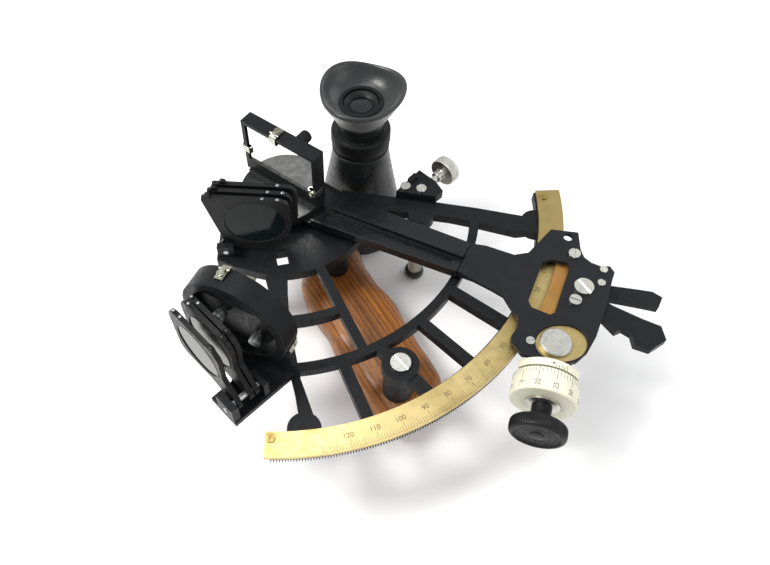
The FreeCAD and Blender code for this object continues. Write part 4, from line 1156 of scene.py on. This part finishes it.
def horizon_mirror_fittings():
    clips = Piece()
    for angle in HORIZON_CLIP_ANGLES:
        horizon_clip(clips, HORIZON_MIRROR @ turn(angle) @ shift(29.0, 0, -0.6))
    bent = clips.make("horizon_mirror_clips_bent", CLIP_CHROME, "nickel", "frame", smooth=30)
    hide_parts("horizon_mirror_clips")
    adjusters = Piece()
    for x, y in HORIZON_ADJUSTERS:
        adjusters.lathe(HORIZON_ADJUSTER_PROFILE, 120, HORIZON_MIRROR @ shift(x, y, 0),
                        flute(count=24, depth=0.28, from_radius=3.2))
    knurled = adjusters.make("horizon_mirror_adjusters_knurled", RIVET_STEEL, "nickel", "frame",
                             smooth=28)
    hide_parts("horizon_mirror_adjusters")


# ------------------------------------------------------------------ release spring
def release_spring():
    """Coil between the carriage beam and the fixed lever, pressed as the worm swings out."""
    turns, steps, length, radius = 5, 24, 4.9, 2.6
    foot = OUTWARD * (WORM_RADIUS + 10.05) + ALONG * 26.0 + UP * (-7.0)
    side = OUTWARD.cross(ALONG)
    path = []
    for i in range(turns * steps + 1):
        f = i / (turns * steps)
        angle = 2 * math.pi * turns * f
        rise = length * (f + 0.035 * math.sin(2 * math.pi * f))
        path.append(foot + OUTWARD * rise + ALONG * (radius * math.cos(angle))
                    + side * (radius * math.sin(angle)))
    coil = Piece()
    coil.tube(path, 0.38)
    spring = coil.make("release_spring_coil", STEEL, "steel", "worm_carriage", DRAWING, smooth=50)
    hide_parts("release_spring")
    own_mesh(spring)


# ------------------------------------------------------------------ trim of the shades
# Places in the plane of each shade: glass centre (x, y), glass radius,
# rivets (x, y, angle), finger tab (x, y, angle).
INDEX_SHADES = (  # the first column is the offset along the shade axis
    (28.6, (-7.2, 26.4), 16.4, ((2.2, 43.95, -4.4),), (-26.6, 46.35, -4.4)),
    (32.8, (-9.5, 26.0), 16.4, ((-2.7, 43.6, -4.4), (5.0, 42.9, -4.4)), (-31.0, 46.0, -4.4)),
    (37.0, (-11.0, 24.2), 17.4, ((-5.3, 43.1, -4.4), (2.6, 42.35, -10.0)),
     (-33.9, 45.35, -4.4)),
)
RIVET_PAIR = ((-47.5, 49.0, 0), (-52.5, 49.0, 0))
HORIZON_SHADES = (  # the first column is the x of the shade
    (-105.6, (-62.0, 30.0), 16.0, RIVET_PAIR, (-76.0, 49.0, 0)),
    (-98.4, (-62.0, 30.0), 16.0, ((-49.5, 49.0, 0),), (-75.0, 49.0, 0)),
    (-94.9, (-62.0, 30.0), 16.0, RIVET_PAIR, (-74.0, 49.0, 0)),
)
RIM_PROFILE = (  # radius beyond the glass, z
    (-0.9, 0.9), (-0.9, 1.25), (-0.7, 1.42), (-0.1, 1.45), (0.1, 1.32),
)
RIVET_PROFILE = ((0, -0.3), (0.95, -0.3), (0.95, 0.35), (0.6, 0.6), (0, 0.65))
TAB_OUTLINE = ((-1.9, -0.8), (1.9, -0.8), (1.8, 1.2), (1.0, 2.2), (-1.0, 2.2), (-1.8, 1.2))


def shade_trim(body, place, centre, glass_radius, rivet_places, tab_place):
    """Rim rings on both faces of a shade, rivets in its edge and a finger tab."""
    rim, rivets, tab = Piece(), Piece(), Piece()
    for side in (1, -1):
        profile = [(glass_radius + r, z * side) for r, z in RIM_PROFILE]
        rim.lathe(profile, 72, place @ shift(*centre, 0))
    rim.make(body + "_rim", PLASTIC, "black_plastic", body, smooth=30)
    for x, y, angle in rivet_places:
        rivets.lathe(RIVET_PROFILE, 20, place @ shift(x, y, 0) @ turn(angle) @ turn(-90, "X"))
    rivets.make(body + "_rivets", RIVET_STEEL, "nickel", body, smooth=30)
    x, y, angle = tab_place
    tab.extrude(TAB_OUTLINE, -1.1, 1.1, place @ shift(x, y, 0) @ turn(angle), ease=0.25)
    tab.make(body + "_tab", PLASTIC, "black_plastic", body, smooth=40)


def shades():
    for k, (offset, *trim) in enumerate(INDEX_SHADES, 1):
        place = placed(rotation=upright(-45.5)) @ shift(0, 0, offset)
        shade_trim("index_shade_%d" % k, place, *trim)
    for k, (x, *trim) in enumerate(HORIZON_SHADES, 1):
        shade_trim("horizon_shade_%d" % k, placed(x, rotation=upright(90)), *trim)


# ------------------------------------------------------------------ floor, light and camera
def studio_floor():
    sheet = Piece()
    sheet.add([(-3, -3, 0), (3, -3, 0), (3, 3, 0), (-3, 3, 0)], [(0, 1, 2, 3)])
    sheet.make("studio_floor", pale_floor())


def studio_world():
    world = bpy.data.worlds.new("studio")
    bpy.context.scene.world = world
    world.use_nodes = True
    background = world.node_tree.nodes["Background"]
    background.inputs["Color"].default_value = (1.0, 1.0, 1.0, 1)
    background.inputs["Strength"].default_value = 0.78


def area_light(name, location, target, size, power, color=(1, 1, 1)):
    """Rectangular light aimed at a target; metres and watts."""
    light = bpy.data.lights.new(name, "AREA")
    light.shape = "RECTANGLE"
    light.size, light.size_y = size
    light.energy = power
    light.color = color
    lamp = bpy.data.objects.new(name, light)
    lamp.location = location
    aim = Vector(target) - Vector(location)
    lamp.rotation_euler = aim.to_track_quat("-Z", "Y").to_euler()
    bpy.context.scene.collection.objects.link(lamp)


def lights():
    area_light("key_soft", location=(-0.41, 0.40, 0.84), target=(0, 0, 0.04),
               size=(0.30, 0.30), power=9.0, color=(1.0, 0.98, 0.95))
    area_light("fill_soft", location=(0.9, -0.1, 0.6), target=(0, 0, 0.05),
               size=(0.6, 0.6), power=2.0, color=(0.95, 0.97, 1.0))
    area_light("arc_sheen", location=(0.05, 0.284, 0.897), target=(-0.106, -0.03, 0.06),
               size=(0.22, 0.22), power=1.3)
    area_light("front_soft", location=(0.3, -0.9, 0.7), target=(0, -0.05, 0.03),
               size=(0.8, 0.5), power=2.0)


def camera():
    view = bpy.data.cameras.new("photo_view")
    view.sensor_fit = "HORIZONTAL"
    view.sensor_width = 36.0
    view.lens = 34.66051948
    view.shift_x = 0.1358571429
    view.shift_y = -0.02268831169
    view.clip_start = 0.01
    holder = bpy.data.objects.new("photo_view", view)
    right = Vector((0.74547769, -0.66201395, -0.07746314))
    down = Vector((-0.57886793, -0.5854322, -0.56760996))
    forward = Vector((0.33041629, 0.46798149, -0.81964529))
    position = Matrix.Translation(point(-169.92, -228.48, 338.12))
    holder.matrix_world = position @ axes(right, -down, -forward)
    bpy.context.scene.collection.objects.link(holder)
    bpy.context.scene.camera = holder


# ------------------------------------------------------------------ build
dress_nodes()
arc_graduations()
index_line()
drum_graduations()
sleeve_marks()
drum_knob()
holder_thumbscrew()
wooden_grip()
grip_screws()
legs()
telescope_parts()
index_mirror_fittings()
horizon_mirror_fittings()
release_spring()
shades()
studio_floor()
studio_world()
lights()
camera()

bpy.context.scene.view_settings.view_transform = "Standard"
bpy.context.scene.view_settings.look = "None"

bpy.context.view_layer.update()
